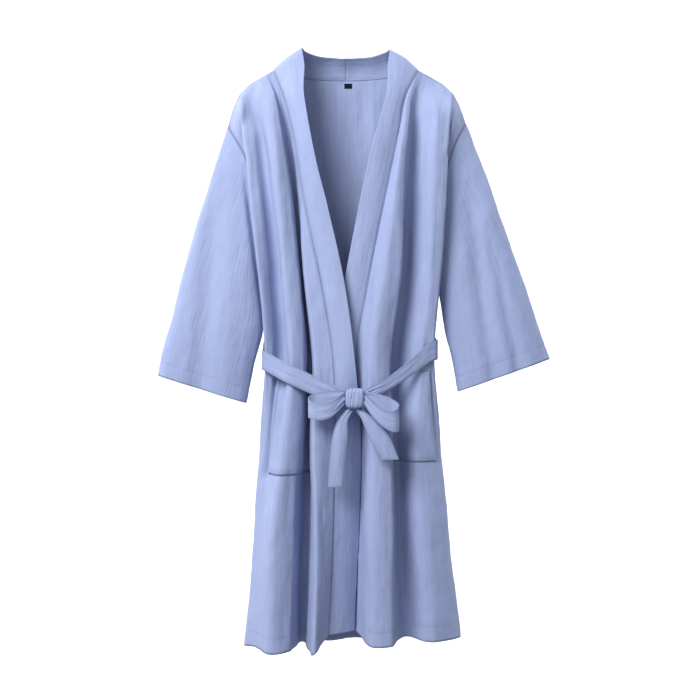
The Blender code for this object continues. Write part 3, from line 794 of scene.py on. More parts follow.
@dataclass
class CollarBand:
    """Half of the doubled collar band, from the centre back down a front edge to the hem."""

    name: str
    side: Side
    z: tuple[float, ...]
    x: tuple[float, ...]
    y: tuple[float, ...]
    low: tuple[tuple[float, float, float], ...]
    cut: Cut
    back_seam: tuple[float, ...] = (0, 17.4, 34.8, 52, 71.6, 90.9, 108, 122.8)
    back_edge: tuple[tuple[float, float, float], ...] = (
        (0, 38, 34), (13, 38, 34), (26, 37, 35), (38, 35, 35), (50, 31, 36), (61, 26, 38), (71, 19, 40),
        (79, 9, 42))
    bulge: float = 4.0
    hem_rise: float = 3.0
    strips: int = 20
    relief: Relief = Relief(cinch=0.0, drape=0.8, crumple=0.3, pucker=0.5, seed=80.0)

    def free_edge(self, front: Surface) -> np.ndarray:
        """Points of the free edge at the rows of the solid, the back's first.

        Args:
            front: The smooth front that the band is sewn to.

        Returns:
            The points.
        """
        points = [(x * self.side.value, y, z) for x, y, z in self.back_edge]
        heights = fine_rows()
        for r, nominal in enumerate(ROWS):
            if r < len(self.z):
                points.append((self.x[r], self.y[r], self.z[r]))
                continue
            z = front.points[np.argmin(np.abs(heights - nominal)), -1, 2]
            z += self.hem_rise if r == len(ROWS) - 1 else 0.0
            keys = [row[0] for row in self.low]
            x, y = (float(curve(keys, [row[i] for row in self.low], np.array([z]))[0]) for i in (1, 2))
            points.append((x, y, z))
        return np.array(points, float)

    def smooth(self, front: Surface, back: Surface) -> Surface:
        """The band between its seam and its free edge.

        Args:
            front: The smooth front on this side.
            back: The smooth back.

        Returns:
            The band's surface, its seam first.
        """
        top = back.points[0]
        inside = [c for c in range(len(top)) if abs(top[c, 0]) < NECK_POINT - 0.01
                  and top[c, 0] * self.side.value >= -1e-6]
        inside.sort(key=lambda c: abs(top[c, 0]))
        count = len(self.back_seam)
        keys = self.back_seam + (NECK_POINT,)
        place = np.concatenate((np.interp(np.abs(top[inside, 0]), keys, np.arange(count + 1)) - count,
                                row_place(fine_rows())))
        seam = np.concatenate((top[inside], front.points[:, -1]))
        free = self.free_edge(front)
        free = curve(np.arange(len(free)) - count, free, place)
        share = (np.arange(self.strips + 1) / self.strips)[None, :, None]
        surface = Surface(seam[:, None] * (1 - share) + free[:, None] * share, self.side.value)
        bulge = self.bulge * np.sin(np.pi * share[..., 0])
        surface = surface.moved(np.broadcast_to(bulge, (len(seam), self.strips + 1)))
        surface.seam, surface.hem = surface.across(), surface.ends()[1]
        return surface

    def build(self, front: Surface, back: Surface, material: bpy.types.Material) -> bpy.types.Object:
        """Make the band, sewn to the smooth front and back."""
        return sew(self.name, self.relief.on(self.smooth(front, back)), material, BAND_WALL, True)


@dataclass
class Pocket:
    """A patch pocket on a front panel, between two of its strips."""

    name: str
    first: int
    last: int
    top: float
    bottom: float
    cut: Cut
    bulge: float = 1.6
    bulge_rise: float = 16.0
    pressing: float = 0.75
    pressed_edge: float = 9.0

    def surface(self, panel: BodyPanel, worn: Surface, lift: float) -> Surface:
        """The pocket's part of the panel, moved out.

        Args:
            panel: The front that it is sewn on.
            worn: The front's surface.
            lift: How far the pocket's middle stands off the front's, in millimetres.

        Returns:
            The pocket's surface.
        """
        heights = fine_rows()
        upper, lower = (int(np.argmin(np.abs(heights - z))) for z in (self.top, self.bottom))
        rows = slice(upper, lower + 1)
        cols = slice(self.first * panel.fineness, self.last * panel.fineness + 1)
        normal = worn.normals()[rows, cols]
        patch = Surface(worn.points[rows, cols] + normal * lift, worn.outward)
        patch.hem, low = patch.ends()
        patch.seam = np.minimum(patch.sides(), low)
        uneven = 0.6 + 0.4 * ripple(patch.points, (40, 40, 60), 91.0)
        bulge = self.bulge * ease(patch.seam / self.bulge_rise) * uneven
        pressed = self.pressing * lift * (1 - ease(patch.seam / self.pressed_edge))
        patch.points = patch.points + normal * (bulge - pressed)[..., None]
        return patch

    def build(self, panel: BodyPanel, material: bpy.types.Material) -> bpy.types.Object:
        """Make the pocket on its worn front."""
        patch = self.surface(panel, panel.worn(), POCKET_LIFT)
        return sew(self.name, patch, material, POCKET_WALL)


@dataclass(frozen=True)
class KnotSize:
    """Middle and half sizes of the knot."""

    x: float = 16.2
    y: float = -98.5
    z: float = -623.5
    width: float = 17.6
    depth: float = 14.5
    height: float = 19.5


@dataclass(frozen=True)
class Pleats:
    """Pleats that gather a strap towards the knot, with the strap's unevenness."""

    depth: float
    reach: float
    number: float
    bend: float
    uneven: float
    limits: tuple[float, float]
    least: float = 0.0

    def height(self, to_knot: np.ndarray, across: np.ndarray, wander: np.ndarray) -> np.ndarray:
        """Height of the pleats.

        Args:
            to_knot: Distance to the knot along the strap.
            across: Place across the strap.
            wander: Soft unevenness at each point.

        Returns:
            The heights in millimetres.
        """
        deep = self.depth * np.exp(-to_knot / self.reach) + self.least
        waves = np.sin(across * self.number + wander * self.bend)
        return np.clip(deep * waves + self.uneven * wander, *self.limits)


@dataclass
class Sash:
    """The part of the sash round the waist, over the folds, from one flank of the knot to the other."""

    cut: Cut
    knot: KnotSize = KnotSize()
    level: SashLevel = SashLevel()
    pleats: Pleats = Pleats(1.5, 38.0, 7.5, 2.2, 0.22, (-0.9, 2.4), 0.03)
    limits: tuple[float, float] = (-1.0, 2.6)
    crumple: float = 0.3
    edge_drop: float = 0.8
    edge_width: float = 3.0
    tuck: float = 1.5
    near: float = 14.0
    spacing: float = 4.0
    smoothing: int = 3
    swell: float = 0.2
    half_strap: float = 1.5
    clear: float = 0.6
    turn: float = 60.0
    stations: int = 300
    strips: int = 14
    lean: float = 5.0
    lean_reach: float = 60.0

    @staticmethod
    def hull(points: np.ndarray) -> np.ndarray:
        """Convex outline of plan points, going round once.

        Args:
            points: The points.

        Returns:
            Those that lie on the outline.
        """
        ordered = sorted(set(map(tuple, np.round(points, 3))))
        chains = []
        for walk in (ordered, ordered[::-1]):
            chain: list[tuple[float, float]] = []
            for p in walk:
                while len(chain) > 1:
                    (ax, ay), (bx, by) = chain[-2], chain[-1]
                    if (bx - ax) * (p[1] - ay) - (by - ay) * (p[0] - ax) > 0:
                        break
                    chain.pop()
                chain.append(p)
            chains.append(chain[:-1])
        return np.array(chains[0] + chains[1])

    def way(self, surfaces: list[tuple[Surface, float]]) -> np.ndarray:
        """Taut plan line over everything that the sash goes round.

        Args:
            surfaces: Each surface with half its wall.

        Returns:
            Plan points, about 4 mm apart.
        """
        near = []
        for surface, half_wall in surfaces:
            outer = (surface.points + surface.normals() * half_wall).reshape(-1, 3)
            z, half = self.level.at(outer)
            near.append(outer[np.abs(outer[:, 2] - z) < half + self.near][:, :2])
        hull = self.hull(np.concatenate(near))
        middle = hull.mean(axis=0)
        fine = []
        for a, b in zip(hull, np.roll(hull, -1, axis=0)):
            pieces = max(1, int(np.linalg.norm(b - a) / self.spacing))
            fine.extend(a + (b - a) * k / pieces for k in range(pieces))
        line = np.array(fine)
        for _ in range(self.smoothing):
            soft = (np.roll(line, 1, axis=0) + line * 2 + np.roll(line, -1, axis=0)) / 4
            line = soft + unit(line - middle) * self.swell
        tangent = unit(np.roll(line, -1, axis=0) - np.roll(line, 1, axis=0))
        return line + np.stack((tangent[:, 1], -tangent[:, 0]), axis=1) * (self.clear + self.half_strap)

    def smooth(self, surfaces: list[tuple[Surface, float]]) -> Surface:
        """The strap with the pleats that gather towards the knot.

        Args:
            surfaces: Each surface that it goes round, with half its wall.

        Returns:
            The strap's surface.
        """
        ring = self.way(surfaces)
        start, stop = self.knot.x + self.knot.width - self.tuck, self.knot.x - self.knot.width + self.tuck
        front = [i for i in range(len(ring)) if ring[i, 1] < 0]
        first = min((i for i in front if ring[i, 0] > start), key=lambda i: ring[i, 0])
        order = np.roll(ring, -first, axis=0)
        keep = [p for p in order if not (p[1] < 0 and stop < p[0] < start)]
        way = np.array([(start, order[0][1])] + keep + [(stop, keep[-1][1])])
        length = run_length(way)
        step = np.diff(way, axis=0)
        turned = np.cumsum(np.abs(np.diff(np.unwrap(np.arctan2(step[:, 1], step[:, 0])))))
        measure = length + np.concatenate(((0,), turned, turned[-1:])) * self.turn
        share = np.linspace(0, measure[-1], self.stations)
        plan = np.stack([np.interp(share, measure, way[:, i]) for i in range(2)], axis=1)
        at = np.interp(share, measure, length)
        to_knot = np.minimum(at, length[-1] - at)
        z, half = self.level.at(plan)
        plan[:, 1] -= self.lean * np.exp(-to_knot / self.lean_reach)
        across = np.linspace(1, -1, self.strips + 1)[None, :]
        surface = Surface(grid(plan[:, :1], plan[:, 1:], z[:, None] + half[:, None] * across))
        surface.seam = surface.sides()
        wander = ripple(grid(at[:, None], across * WANDER_SPREAD, 0.0), (46, 12, 1), 61.0)
        height = self.pleats.height(to_knot[:, None], across, wander)
        height = height + self.crumple * ripple(surface.points, (12, 12, 12), 66.0)
        soft_edge = self.edge_drop * (1 - ease(surface.seam / self.edge_width))
        height = np.clip(height, *self.limits) * ease(surface.seam / SEWN_EDGE)
        return surface.moved(height - soft_edge)

    def build(self, surfaces: list[tuple[Surface, float]], material: bpy.types.Material) -> bpy.types.Object:
        """Make the strap over the surfaces that it goes round."""
        return sew("belt", self.smooth(surfaces), material, BAND_WALL, True)


@dataclass
class Knot:
    """The knot: the strap wrapped once round, gathered into upright folds at (place, width, depth)."""

    size: KnotSize = KnotSize()
    folds: tuple[tuple[float, float, float], ...] = (
        (-0.64, 0.05, 0.10), (-0.34, 0.05, 0.12), (-0.02, 0.04, 0.05), (0.52, 0.08, 0.02))
    squareness: float = 4.2
    slant: float = 0.18
    unevenness: float = 0.07
    profile: int = 48
    around: int = 64

    def turned(self) -> bmesh.types.BMesh:
        """The gathered profile turned once round, at size 1.

        Returns:
            The closed form.
        """
        work = bmesh.new()
        before = None
        for s in np.linspace(-1, 1, self.profile + 1):
            radius = max(1 - abs(s) ** 5.0, 0.0) ** 0.28
            for at, wide, deep in self.folds:
                radius -= deep * math.exp(-(((s - at) / wide) ** 2))
            vert = work.verts.new((s, 0.0, max(radius, 0.02)))
            if before is not None:
                work.edges.new((before, vert))
            before = vert
        bmesh.ops.spin(work, geom=list(work.verts) + list(work.edges), cent=(0, 0, 0), axis=(1, 0, 0),
                       dvec=(0, 0, 0), angle=2 * math.pi, steps=self.around, use_merge=True,
                       use_duplicate=False)
        bmesh.ops.remove_doubles(work, verts=work.verts, dist=1e-5)
        bmesh.ops.holes_fill(work, edges=[edge for edge in work.edges if edge.is_boundary], sides=0)
        return work

    def build(self, material: bpy.types.Material) -> bpy.types.Object:
        """Make the knot from its turned form.

        Args:
            material: The cloth's finish.

        Returns:
            The knot.
        """
        work = self.turned()
        size = self.size
        for vert in work.verts:
            x, y, z = vert.co
            turn = math.atan2(z, -y)
            sine, cosine = math.sin(turn), math.cos(turn)
            uneven = noise.noise(Vector((x * 2.3, sine, cosine + 5.0))) * self.unevenness
            square = (abs(sine) ** self.squareness + abs(cosine) ** self.squareness) ** (-1 / self.squareness)
            shear = self.slant * sine * (1 - x * x)
            vert.co = ((size.x + size.width * (x * (1 - 0.06 * abs(z)) + shear)) * MM,
                       (size.y + size.depth * y * (square * 0.95 + uneven)) * MM,
                       (size.z + size.height * z * (square * 0.96 + uneven)) * MM)
        bmesh.ops.recalc_face_normals(work, faces=work.faces)
        mesh = bpy.data.meshes.new("cloth_belt_knot")
        work.to_mesh(mesh)
        work.free()
        self.map(mesh)
        return settle(show_mesh(mesh, material), "belt_knot")

    def map(self, mesh: bpy.types.Mesh) -> None:
        """Give the knot the same maps as the sheets, its edges far off.

        Args:
            mesh: The knot's mesh.
        """
        place = np.empty(len(mesh.vertices) * 3)
        mesh.vertices.foreach_get("co", place)
        place = place.reshape(-1, 3)
        turn = np.arctan2(place[:, 2] - self.size.z * MM, -(place[:, 1] - self.size.y * MM))
        cloth = np.stack((place[:, 0], turn * self.size.height * MM), axis=1)
        far = np.ones_like(cloth)
        add_maps(mesh, {"cloth": cloth, "seam": far, "hem": far})


@dataclass
class BowLoop:
    """A loop of the bow: the strap out and back, standing on edge."""

    name: str
    way: tuple[tuple[float, float, float, float], ...]
    cut: Cut
    pleats: Pleats = Pleats(1.3, 22.0, 14, 2, 0.5, (-1.4, 1.4))
    stations: int = 110
    strips: int = 14

    def smooth(self) -> Surface:
        """The loop's strap with its pleats at the knot.

        Returns:
            The surface.
        """
        table = np.array(self.way, float)
        length = run_length(table[:, :2])
        at = np.linspace(0, length[-1], self.stations)
        x, y, top, low = (curve(length, table[:, i], at)[:, None] for i in range(4))
        across = np.linspace(0, 1, self.strips + 1)[None, :]
        surface = Surface(grid(x, y, top + (low - top) * across))
        surface.seam = surface.sides()
        to_knot = np.minimum(at, length[-1] - at)[:, None]
        seed = float(len(self.name)) + table[1, 0]
        wander = ripple(grid(at[:, None], across * WANDER_SPREAD, 0.0), (30, 14, 1), seed)
        return surface.moved(self.pleats.height(to_knot, across, wander) * ease(surface.seam / SEWN_EDGE))

    def build(self, material: bpy.types.Material) -> bpy.types.Object:
        """Make the loop in the given finish."""
        return sew(self.name, self.smooth(), material, STRAP_WALL, True)


@dataclass
class SashEnd:
    """A hanging end of the sash."""

    name: str
    rows: tuple[tuple[float, float, float, float], ...]
    cut: Cut
    pleats: Pleats = Pleats(1.4, 26.0, 11, 1.5, 0.9, (-1.4, 1.6))
    curl: float = 3.0
    stations: int = 70
    strips: int = 14

    def smooth(self) -> Surface:
        """The end's strap, curled across and pleated under the knot.

        Returns:
            The surface.
        """
        table = np.array(self.rows, float)
        z = np.linspace(table[0, 0], table[-1, 0], self.stations)[:, None]
        left, right, y = (curve(table[:, 0], table[:, i], z) for i in (1, 2, 3))
        t = np.linspace(0, 1, self.strips + 1)[None, :]
        surface = Surface(grid(left + (right - left) * t, y - self.curl * np.sin(np.pi * t), z))
        down, low = surface.ends()
        surface.seam = np.minimum(surface.sides(), low)
        wander = ripple(surface.points, (16, 16, 60), 71.0 + table[1, 1])
        return surface.moved(self.pleats.height(down, t, wander) * ease(surface.seam / SEWN_EDGE))

    def build(self, material: bpy.types.Material) -> bpy.types.Object:
        """Make the hanging end in the given finish."""
        return sew(self.name, self.smooth(), material, STRAP_WALL, True)


@dataclass
class NeckLabel:
    """The bare woven tag inside the back neck."""

    cut: Cut
    x: float = 4.0
    width: float = 15.0
    top: float = -11.0
    height: float = 9.5
    wall: float = 0.6
    columns: int = 13
    rows: int = 9
    back_rows: int = 12
    reach: float = 4.0

    def build(self, back: Surface, material: bpy.types.Material) -> bpy.types.Object:
        """Make the tag against the worn back.

        Args:
            back: The worn back.
            material: The tag's finish.

        Returns:
            The tag.
        """
        xs = np.linspace(self.x - self.width / 2, self.x + self.width / 2, self.columns)
        zs = np.linspace(self.top, self.top - self.height, self.rows)
        near = back.points[:self.back_rows].reshape(-1, 3)
        points = np.zeros((len(zs), len(xs), 3))
        for r, z in enumerate(zs):
            for c, x in enumerate(xs):
                weight = np.exp(-((np.hypot(near[:, 0] - x, near[:, 2] - z) / self.reach) ** 2))
                y = float((near[:, 1] * weight).sum() / weight.sum())
                points[r, c] = (x, y - CLOTH_WALL / 2 - LIFT - self.wall / 2, z)
        surface = Surface(points)
        surface.seam = np.minimum(surface.sides(), np.minimum(*surface.ends()))
        piece = Cloth("woven_tag", surface, self.wall, material).build()
        return settle(piece, "neck_label")


class Nodes:
    """Short way to add and join shader nodes of one tree."""

    def __init__(self, tree: bpy.types.NodeTree) -> None:
        """Keep the tree that nodes are added to."""
        self.tree = tree

    def add(self, kind: str, **settings: object) -> bpy.types.Node:
        """Add a node.

        Args:
            kind: Blender's name of the node type.
            **settings: Properties of the node, or socket values by name with spaces as underscores.

        Returns:
            The node.
        """
        node = self.tree.nodes.new(kind)
        for name, value in settings.items():
            if hasattr(node, name):
                setattr(node, name, value)
            else:
                node.inputs[name.replace("_", " ")].default_value = value
        return node

    def join(self, source: object, target: bpy.types.NodeSocket) -> None:
        """Link an output to an input, or set the input to a value.

        Args:
            source: The output, or the value.
            target: The input.
        """
        if isinstance(source, bpy.types.NodeSocket):
            self.tree.links.new(source, target)
        else:
            target.default_value = source

    def math(self, operation: str, *inputs: bpy.types.NodeSocket | float) -> bpy.types.NodeSocket:
        """Add a math node.

        Args:
            operation: Its operation.
            *inputs: Sockets or numbers.

        Returns:
            Its output.
        """
        node = self.add("ShaderNodeMath", operation=operation)
        for value, target in zip(inputs, node.inputs):
            self.join(value, target)
        return node.outputs[0]

    def total(self, *terms: tuple[bpy.types.NodeSocket, float]) -> bpy.types.NodeSocket:
        """Add up sockets, each times its weight.

        Args:
            *terms: Socket and weight.

        Returns:
            The total.
        """
        parts = [self.math("MULTIPLY", socket, weight) for socket, weight in terms]
        result = parts[0]
        for part in parts[1:]:
            result = self.math("ADD", result, part)
        return result

    def fade(self, distance: bpy.types.NodeSocket,
             reach: bpy.types.NodeSocket | float) -> bpy.types.NodeSocket:
        """A value that falls from 1 over a reach, exponentially."""
        return self.math("EXPONENT", self.math("MULTIPLY", self.math("DIVIDE", distance, reach), -1.0))

    def mix(self, share: bpy.types.NodeSocket, first: object, second: object) -> bpy.types.NodeSocket:
        """Blend two colours.

        Args:
            share: Share of the second one.
            first: A socket, or red, green, blue and alpha.
            second: The same.

        Returns:
            The colour.
        """
        node = self.add("ShaderNodeMix", data_type="RGBA")
        for value, slot in zip((share, first, second), (0, 6, 7)):
            self.join(value, node.inputs[slot])
        return node.outputs[2]

    def noise(self, vector: bpy.types.NodeSocket, scale: tuple[float, float, float],
              detail: float = 2.0) -> bpy.types.NodeSocket:
        """Add noise on scaled coordinates.

        Args:
            vector: Coordinates in metres.
            scale: Waves a metre along each of them.
            detail: Detail of the noise.

        Returns:
            The noise value, 0 to 1.
        """
        mapping = self.add("ShaderNodeMapping", Scale=scale)
        texture = self.add("ShaderNodeTexNoise", Scale=1.0, Detail=detail, Roughness=0.55)
        self.join(vector, mapping.inputs["Vector"])
        self.join(mapping.outputs[0], texture.inputs["Vector"])
        return texture.outputs[0]

    def bump(self, height: bpy.types.NodeSocket, distance: float, shader: bpy.types.Node) -> None:
        """Give a shader small relief.

        Args:
            height: The height.
            distance: Its scale in metres.
            shader: The shader.
        """
        bump = self.add("ShaderNodeBump", Strength=1.0, Distance=distance)
        self.join(height, bump.inputs["Height"])
        self.join(bump.outputs[0], shader.inputs["Normal"])


def shaded(name: str, **values: object) -> tuple[bpy.types.Material, Nodes, bpy.types.Node]:
    """Make a material.

    Args:
        name: Its name.
        **values: Values of its shader by name, with underscores for spaces.

    Returns:
        The material, its nodes and its shader.
    """
    material = bpy.data.materials.new(name)
    material.use_nodes = True
    shader = material.node_tree.nodes["Principled BSDF"]
    for key, value in values.items():
        shader.inputs[key.replace("_", " ")].default_value = value
    return material, Nodes(material.node_tree), shader


class EffectGroup:
    """A shader node group with named inputs and outputs, built once."""

    name = "effect"
    inputs: tuple[tuple[str, str, float], ...] = ()
    outputs: tuple[str, ...] = ()

    @classmethod
    def tree(cls) -> bpy.types.NodeTree:
        """The group's node tree, made at its first use.

        Returns:
            The tree.
        """
        found = bpy.data.node_groups.get(cls.name)
        if found:
            return found
        tree = bpy.data.node_groups.new(cls.name, "ShaderNodeTree")
        for name, kind, value in cls.inputs:
            socket = tree.interface.new_socket(name=name, in_out="INPUT", socket_type="NodeSocket" + kind)
            if kind == "Float":
                socket.default_value = value
        for name in cls.outputs:
            tree.interface.new_socket(name=name, in_out="OUTPUT", socket_type="NodeSocketFloat")
        nodes = Nodes(tree)
        cls.fill(nodes, nodes.add("NodeGroupInput"), nodes.add("NodeGroupOutput"))
        return tree

    @classmethod
    def fill(cls, nodes: Nodes, given: bpy.types.Node, result: bpy.types.Node) -> None:
        """Make the group's own nodes.

        Args:
            nodes: Nodes of the group.
            given: Its inputs.
            result: Its outputs.
        """
        raise NotImplementedError

    @classmethod
    def place(cls, nodes: Nodes, vector: bpy.types.NodeSocket, **values: float) -> bpy.types.Node:
        """Put the group into a material.

        Args:
            nodes: The material's nodes.
            vector: Coordinates that it reads.
            **values: Its numbers, with underscores for spaces.

        Returns:
            The group node.
        """
        group = nodes.add("ShaderNodeGroup", node_tree=cls.tree())
        nodes.join(vector, group.inputs[0])
        for name, value in values.items():
            group.inputs[name.replace("_", " ")].default_value = value
        return group


class Weave(EffectGroup):
    """Plain weave with the long uneven threads of crinkled cotton."""

    name = "crinkled_cotton_weave"
    inputs = (("Cloth", "Vector", 0.0), ("Pitch", "Float", 0.0012))
    outputs = ("Tone", "Height")

    @classmethod
    def fill(cls, nodes: Nodes, given: bpy.types.Node, result: bpy.types.Node) -> None:
        """Streaks of thick threads and the weave's own pattern.

        Args:
            nodes: Nodes of the group.
            given: Its inputs.
            result: Its outputs.
        """
        cloth = given.outputs["Cloth"]
        broad = nodes.noise(cloth, (150.0, 15.0, 1.0))
        narrow = nodes.noise(cloth, (520.0, 42.0, 1.0))
        cross = nodes.noise(cloth, (14.0, 380.0, 1.0))
        split = nodes.add("ShaderNodeSeparateXYZ")
        nodes.join(cloth, split.inputs[0])
        waves = []
        for axis in (0, 1):
            phase = nodes.math("DIVIDE", split.outputs[axis], given.outputs["Pitch"])
            waves.append(nodes.math("SINE", nodes.math("MULTIPLY", phase, 2 * math.pi)))
        weave = nodes.math("MULTIPLY", *waves)
        nodes.join(nodes.total((broad, 0.5), (narrow, 0.35), (cross, 0.15)), result.inputs["Tone"])
        height = nodes.total((broad, 1.1), (narrow, 0.34), (cross, 0.12), (weave, 0.035))
        nodes.join(height, result.inputs["Height"])


class Crumple(EffectGroup):
    """Soft wrinkles of washed cotton."""

    name = "washed_crumple"
    inputs = (("Place", "Vector", 0.0), ("Depth", "Float", 0.5))
    outputs = ("Height", "Tone")

    @classmethod
    def fill(cls, nodes: Nodes, given: bpy.types.Node, result: bpy.types.Node) -> None:
        """Wrinkles of two sizes, longer down than across.

        Args:
            nodes: Nodes of the group.
            given: Its inputs.
            result: Its outputs.
        """
        place = given.outputs["Place"]
        large = nodes.noise(place, (38.0, 38.0, 15.0))
        small = nodes.noise(place, (110.0, 110.0, 55.0))
        both = nodes.total((large, 0.75), (small, 0.25))
        nodes.join(nodes.math("MULTIPLY", both, given.outputs["Depth"]), result.inputs["Height"])
        nodes.join(nodes.noise(place, (7.0, 7.0, 4.0)), result.inputs["Tone"])


class Stitching(EffectGroup):
    """A row of stitches beside an edge, the groove it pulls, the puckers round it, and painted shade along
    the groove and the edge.
    """

    name = "edge_stitching"
    inputs = (("Edge", "Vector", 0.0), ("Offset", "Float", 0.003), ("Stitch", "Float", 0.0032),
              ("Pucker", "Float", 0.5), ("Dark", "Float", 1.0), ("Reach", "Float", 0.0011))
    outputs = ("Thread", "Height", "Shade")
    thread: float = 0.0005
    dash: float = 0.72
    groove: float = 0.0016
    pull: float = 0.006

    @classmethod
    def fill(cls, nodes: Nodes, given: bpy.types.Node, result: bpy.types.Node) -> None:
        """Threads, groove, puckers and painted shade along the groove and beside the edge.

        Args:
            nodes: Nodes of the group.
            given: Its inputs; the edge holds the distance to it and the length along it.
            result: Its outputs.
        """
        split = nodes.add("ShaderNodeSeparateXYZ")
        nodes.join(given.outputs["Edge"], split.inputs[0])
        away = nodes.math("ABSOLUTE", nodes.math("SUBTRACT", split.outputs[0], given.outputs["Offset"]))
        line = nodes.math("SUBTRACT", 1.0, nodes.math("DIVIDE", away, cls.thread))
        line = nodes.math("MAXIMUM", nodes.math("MINIMUM", line, 1.0), 0.0)
        beat = nodes.math("FRACT", nodes.math("DIVIDE", split.outputs[1], given.outputs["Stitch"]))
        dash = nodes.math("LESS_THAN", beat, cls.dash)
        nodes.join(nodes.math("MULTIPLY", line, dash), result.inputs["Thread"])
        groove = nodes.fade(away, cls.groove)
        # Painted shade: the colour is darkened along the stitch groove and right beside the edge, where shade
        # would fall.
        edge = nodes.fade(split.outputs[0], given.outputs["Reach"])
        shade = nodes.math("MINIMUM", nodes.total((groove, 0.35), (edge, 0.65)), 1.0)
        nodes.join(nodes.math("MULTIPLY", shade, given.outputs["Dark"]), result.inputs["Shade"])
        along = nodes.add("ShaderNodeCombineXYZ")
        nodes.join(split.outputs[1], along.inputs[0])
        nodes.join(nodes.math("MULTIPLY", split.outputs[0], 0.25), along.inputs[1])
        puckers = nodes.noise(along.outputs[0], (115.0, 115.0, 1.0), 1.0)
        pucker = nodes.math("MULTIPLY", puckers, nodes.fade(away, cls.pull))
        pucker = nodes.math("MULTIPLY", pucker, given.outputs["Pucker"])
        nodes.join(nodes.total((pucker, 2.0), (groove, -0.35)), result.inputs["Height"])


@dataclass(frozen=True)
class CottonFinish:
    """Light crinkled cotton with its topstitching, and painted shade along its seams, hems and stitch
    grooves.
    """

    name: str
    light: tuple[float, float, float]
    dark: tuple[float, float, float]
    seam_offset: float
    hem_offset: float
    seam_pucker: float = 0.5
    hem_pucker: float = 0.35
    second_seam: float = 0.0
    # How far the painted shade spreads from a seam edge, in metres.
    seam_shade_reach: float = 0.0011
    crumple: float = 0.6
    roughness: float = 0.86
    sheen: float = 0.08
    # Strengths of the painted shade at the hem and at the second row of stitches.
    hem_shade: float = 0.45
    second_shade: float = 0.5
    thread_gain: float = 1.12
    thread_share: float = 0.6
    # Darkness and share of the painted shade colour.
    shade_gain: float = 0.35
    shade_share: float = 0.75

    def material(self) -> bpy.types.Material:
        """Make the material.

        Returns:
            The material.
        """
        material, nodes, shader = shaded(self.name, Roughness=self.roughness, Sheen_Weight=self.sheen,
                                         Sheen_Roughness=0.5, Specular_IOR_Level=0.25)
        cloth, seam, hem = (nodes.add("ShaderNodeUVMap", uv_map=name).outputs[0]
                            for name in ("cloth", "seam", "hem"))
        weave = Weave.place(nodes, cloth)
        crumple = Crumple.place(nodes, nodes.add("ShaderNodeTexCoord").outputs["Object"], Depth=self.crumple)
        rows = [Stitching.place(nodes, seam, Offset=self.seam_offset, Pucker=self.seam_pucker,
                                Reach=self.seam_shade_reach),
                Stitching.place(nodes, hem, Offset=self.hem_offset, Pucker=self.hem_pucker,
                                Dark=self.hem_shade)]
        if self.second_seam:
            rows.append(Stitching.place(nodes, seam, Offset=self.second_seam, Pucker=self.seam_pucker * 0.5,
                                        Dark=self.second_shade))
        ramp = nodes.add("ShaderNodeMapRange", From_Min=0.3, From_Max=0.7)
        nodes.join(nodes.total((weave.outputs["Tone"], 0.75), (crumple.outputs["Tone"], 0.25)),
                   ramp.inputs["Value"])
        colour = nodes.mix(ramp.outputs[0], (*self.dark, 1.0), (*self.light, 1.0))
        thread = shade = 0.0
        height = nodes.math("ADD", weave.outputs["Height"], crumple.outputs["Height"])
        for row in rows:
            thread = nodes.math("MAXIMUM", thread, row.outputs["Thread"])
            shade = nodes.math("MAXIMUM", shade, row.outputs["Shade"])
            height = nodes.math("ADD", height, row.outputs["Height"])
        thread = nodes.math("MULTIPLY", thread, self.thread_share)
        colour = nodes.mix(thread, colour, (*(value * self.thread_gain for value in self.light), 1.0))
        # Painted shade: the colour is pulled towards a much darker blue along seams, hems and stitch grooves,
        # where shade would fall.
        shade = nodes.math("MULTIPLY", shade, self.shade_share)
        colour = nodes.mix(shade, colour, (*(value * self.shade_gain for value in self.dark), 1.0))
        nodes.join(colour, shader.inputs["Base Color"])
        nodes.bump(height, 0.001, shader)
        return material


@dataclass(frozen=True)
class TagFinish:
    """Dark woven tape with a fine rib."""

    name: str = "tag_tape"
    base: tuple[float, float, float] = (0.004, 0.005, 0.014)
    worn: tuple[float, float, float] = (0.010, 0.012, 0.028)

    def material(self) -> bpy.types.Material:
        """Make the material.

        Returns:
            The material.
        """
        material, nodes, shader = shaded(self.name, Roughness=0.85, Specular_IOR_Level=0.1)
        weave = Weave.place(nodes, nodes.add("ShaderNodeUVMap", uv_map="cloth").outputs[0], Pitch=0.0006)
        colour = nodes.mix(weave.outputs["Tone"], (*self.base, 1.0), (*self.worn, 1.0))
        nodes.join(colour, shader.inputs["Base Color"])
        nodes.bump(weave.outputs["Height"], 0.0004, shader)
        return material


@dataclass(frozen=True)
class Lamp:
    """A soft box of the studio."""

    name: str
    place: tuple[float, float, float]
    aim: tuple[float, float, float]
    size: float
    power: float

    def build(self) -> None:
        """Add the light."""
        light = bpy.data.lights.new(self.name, "AREA")
        light.shape = "DISK"
        light.size = self.size
        light.energy = self.power
        lamp = show(self.name, light)
        lamp.location = self.place
        lamp.rotation_euler = (Vector(self.aim) - Vector(self.place)).to_track_quat("-Z", "Y").to_euler()


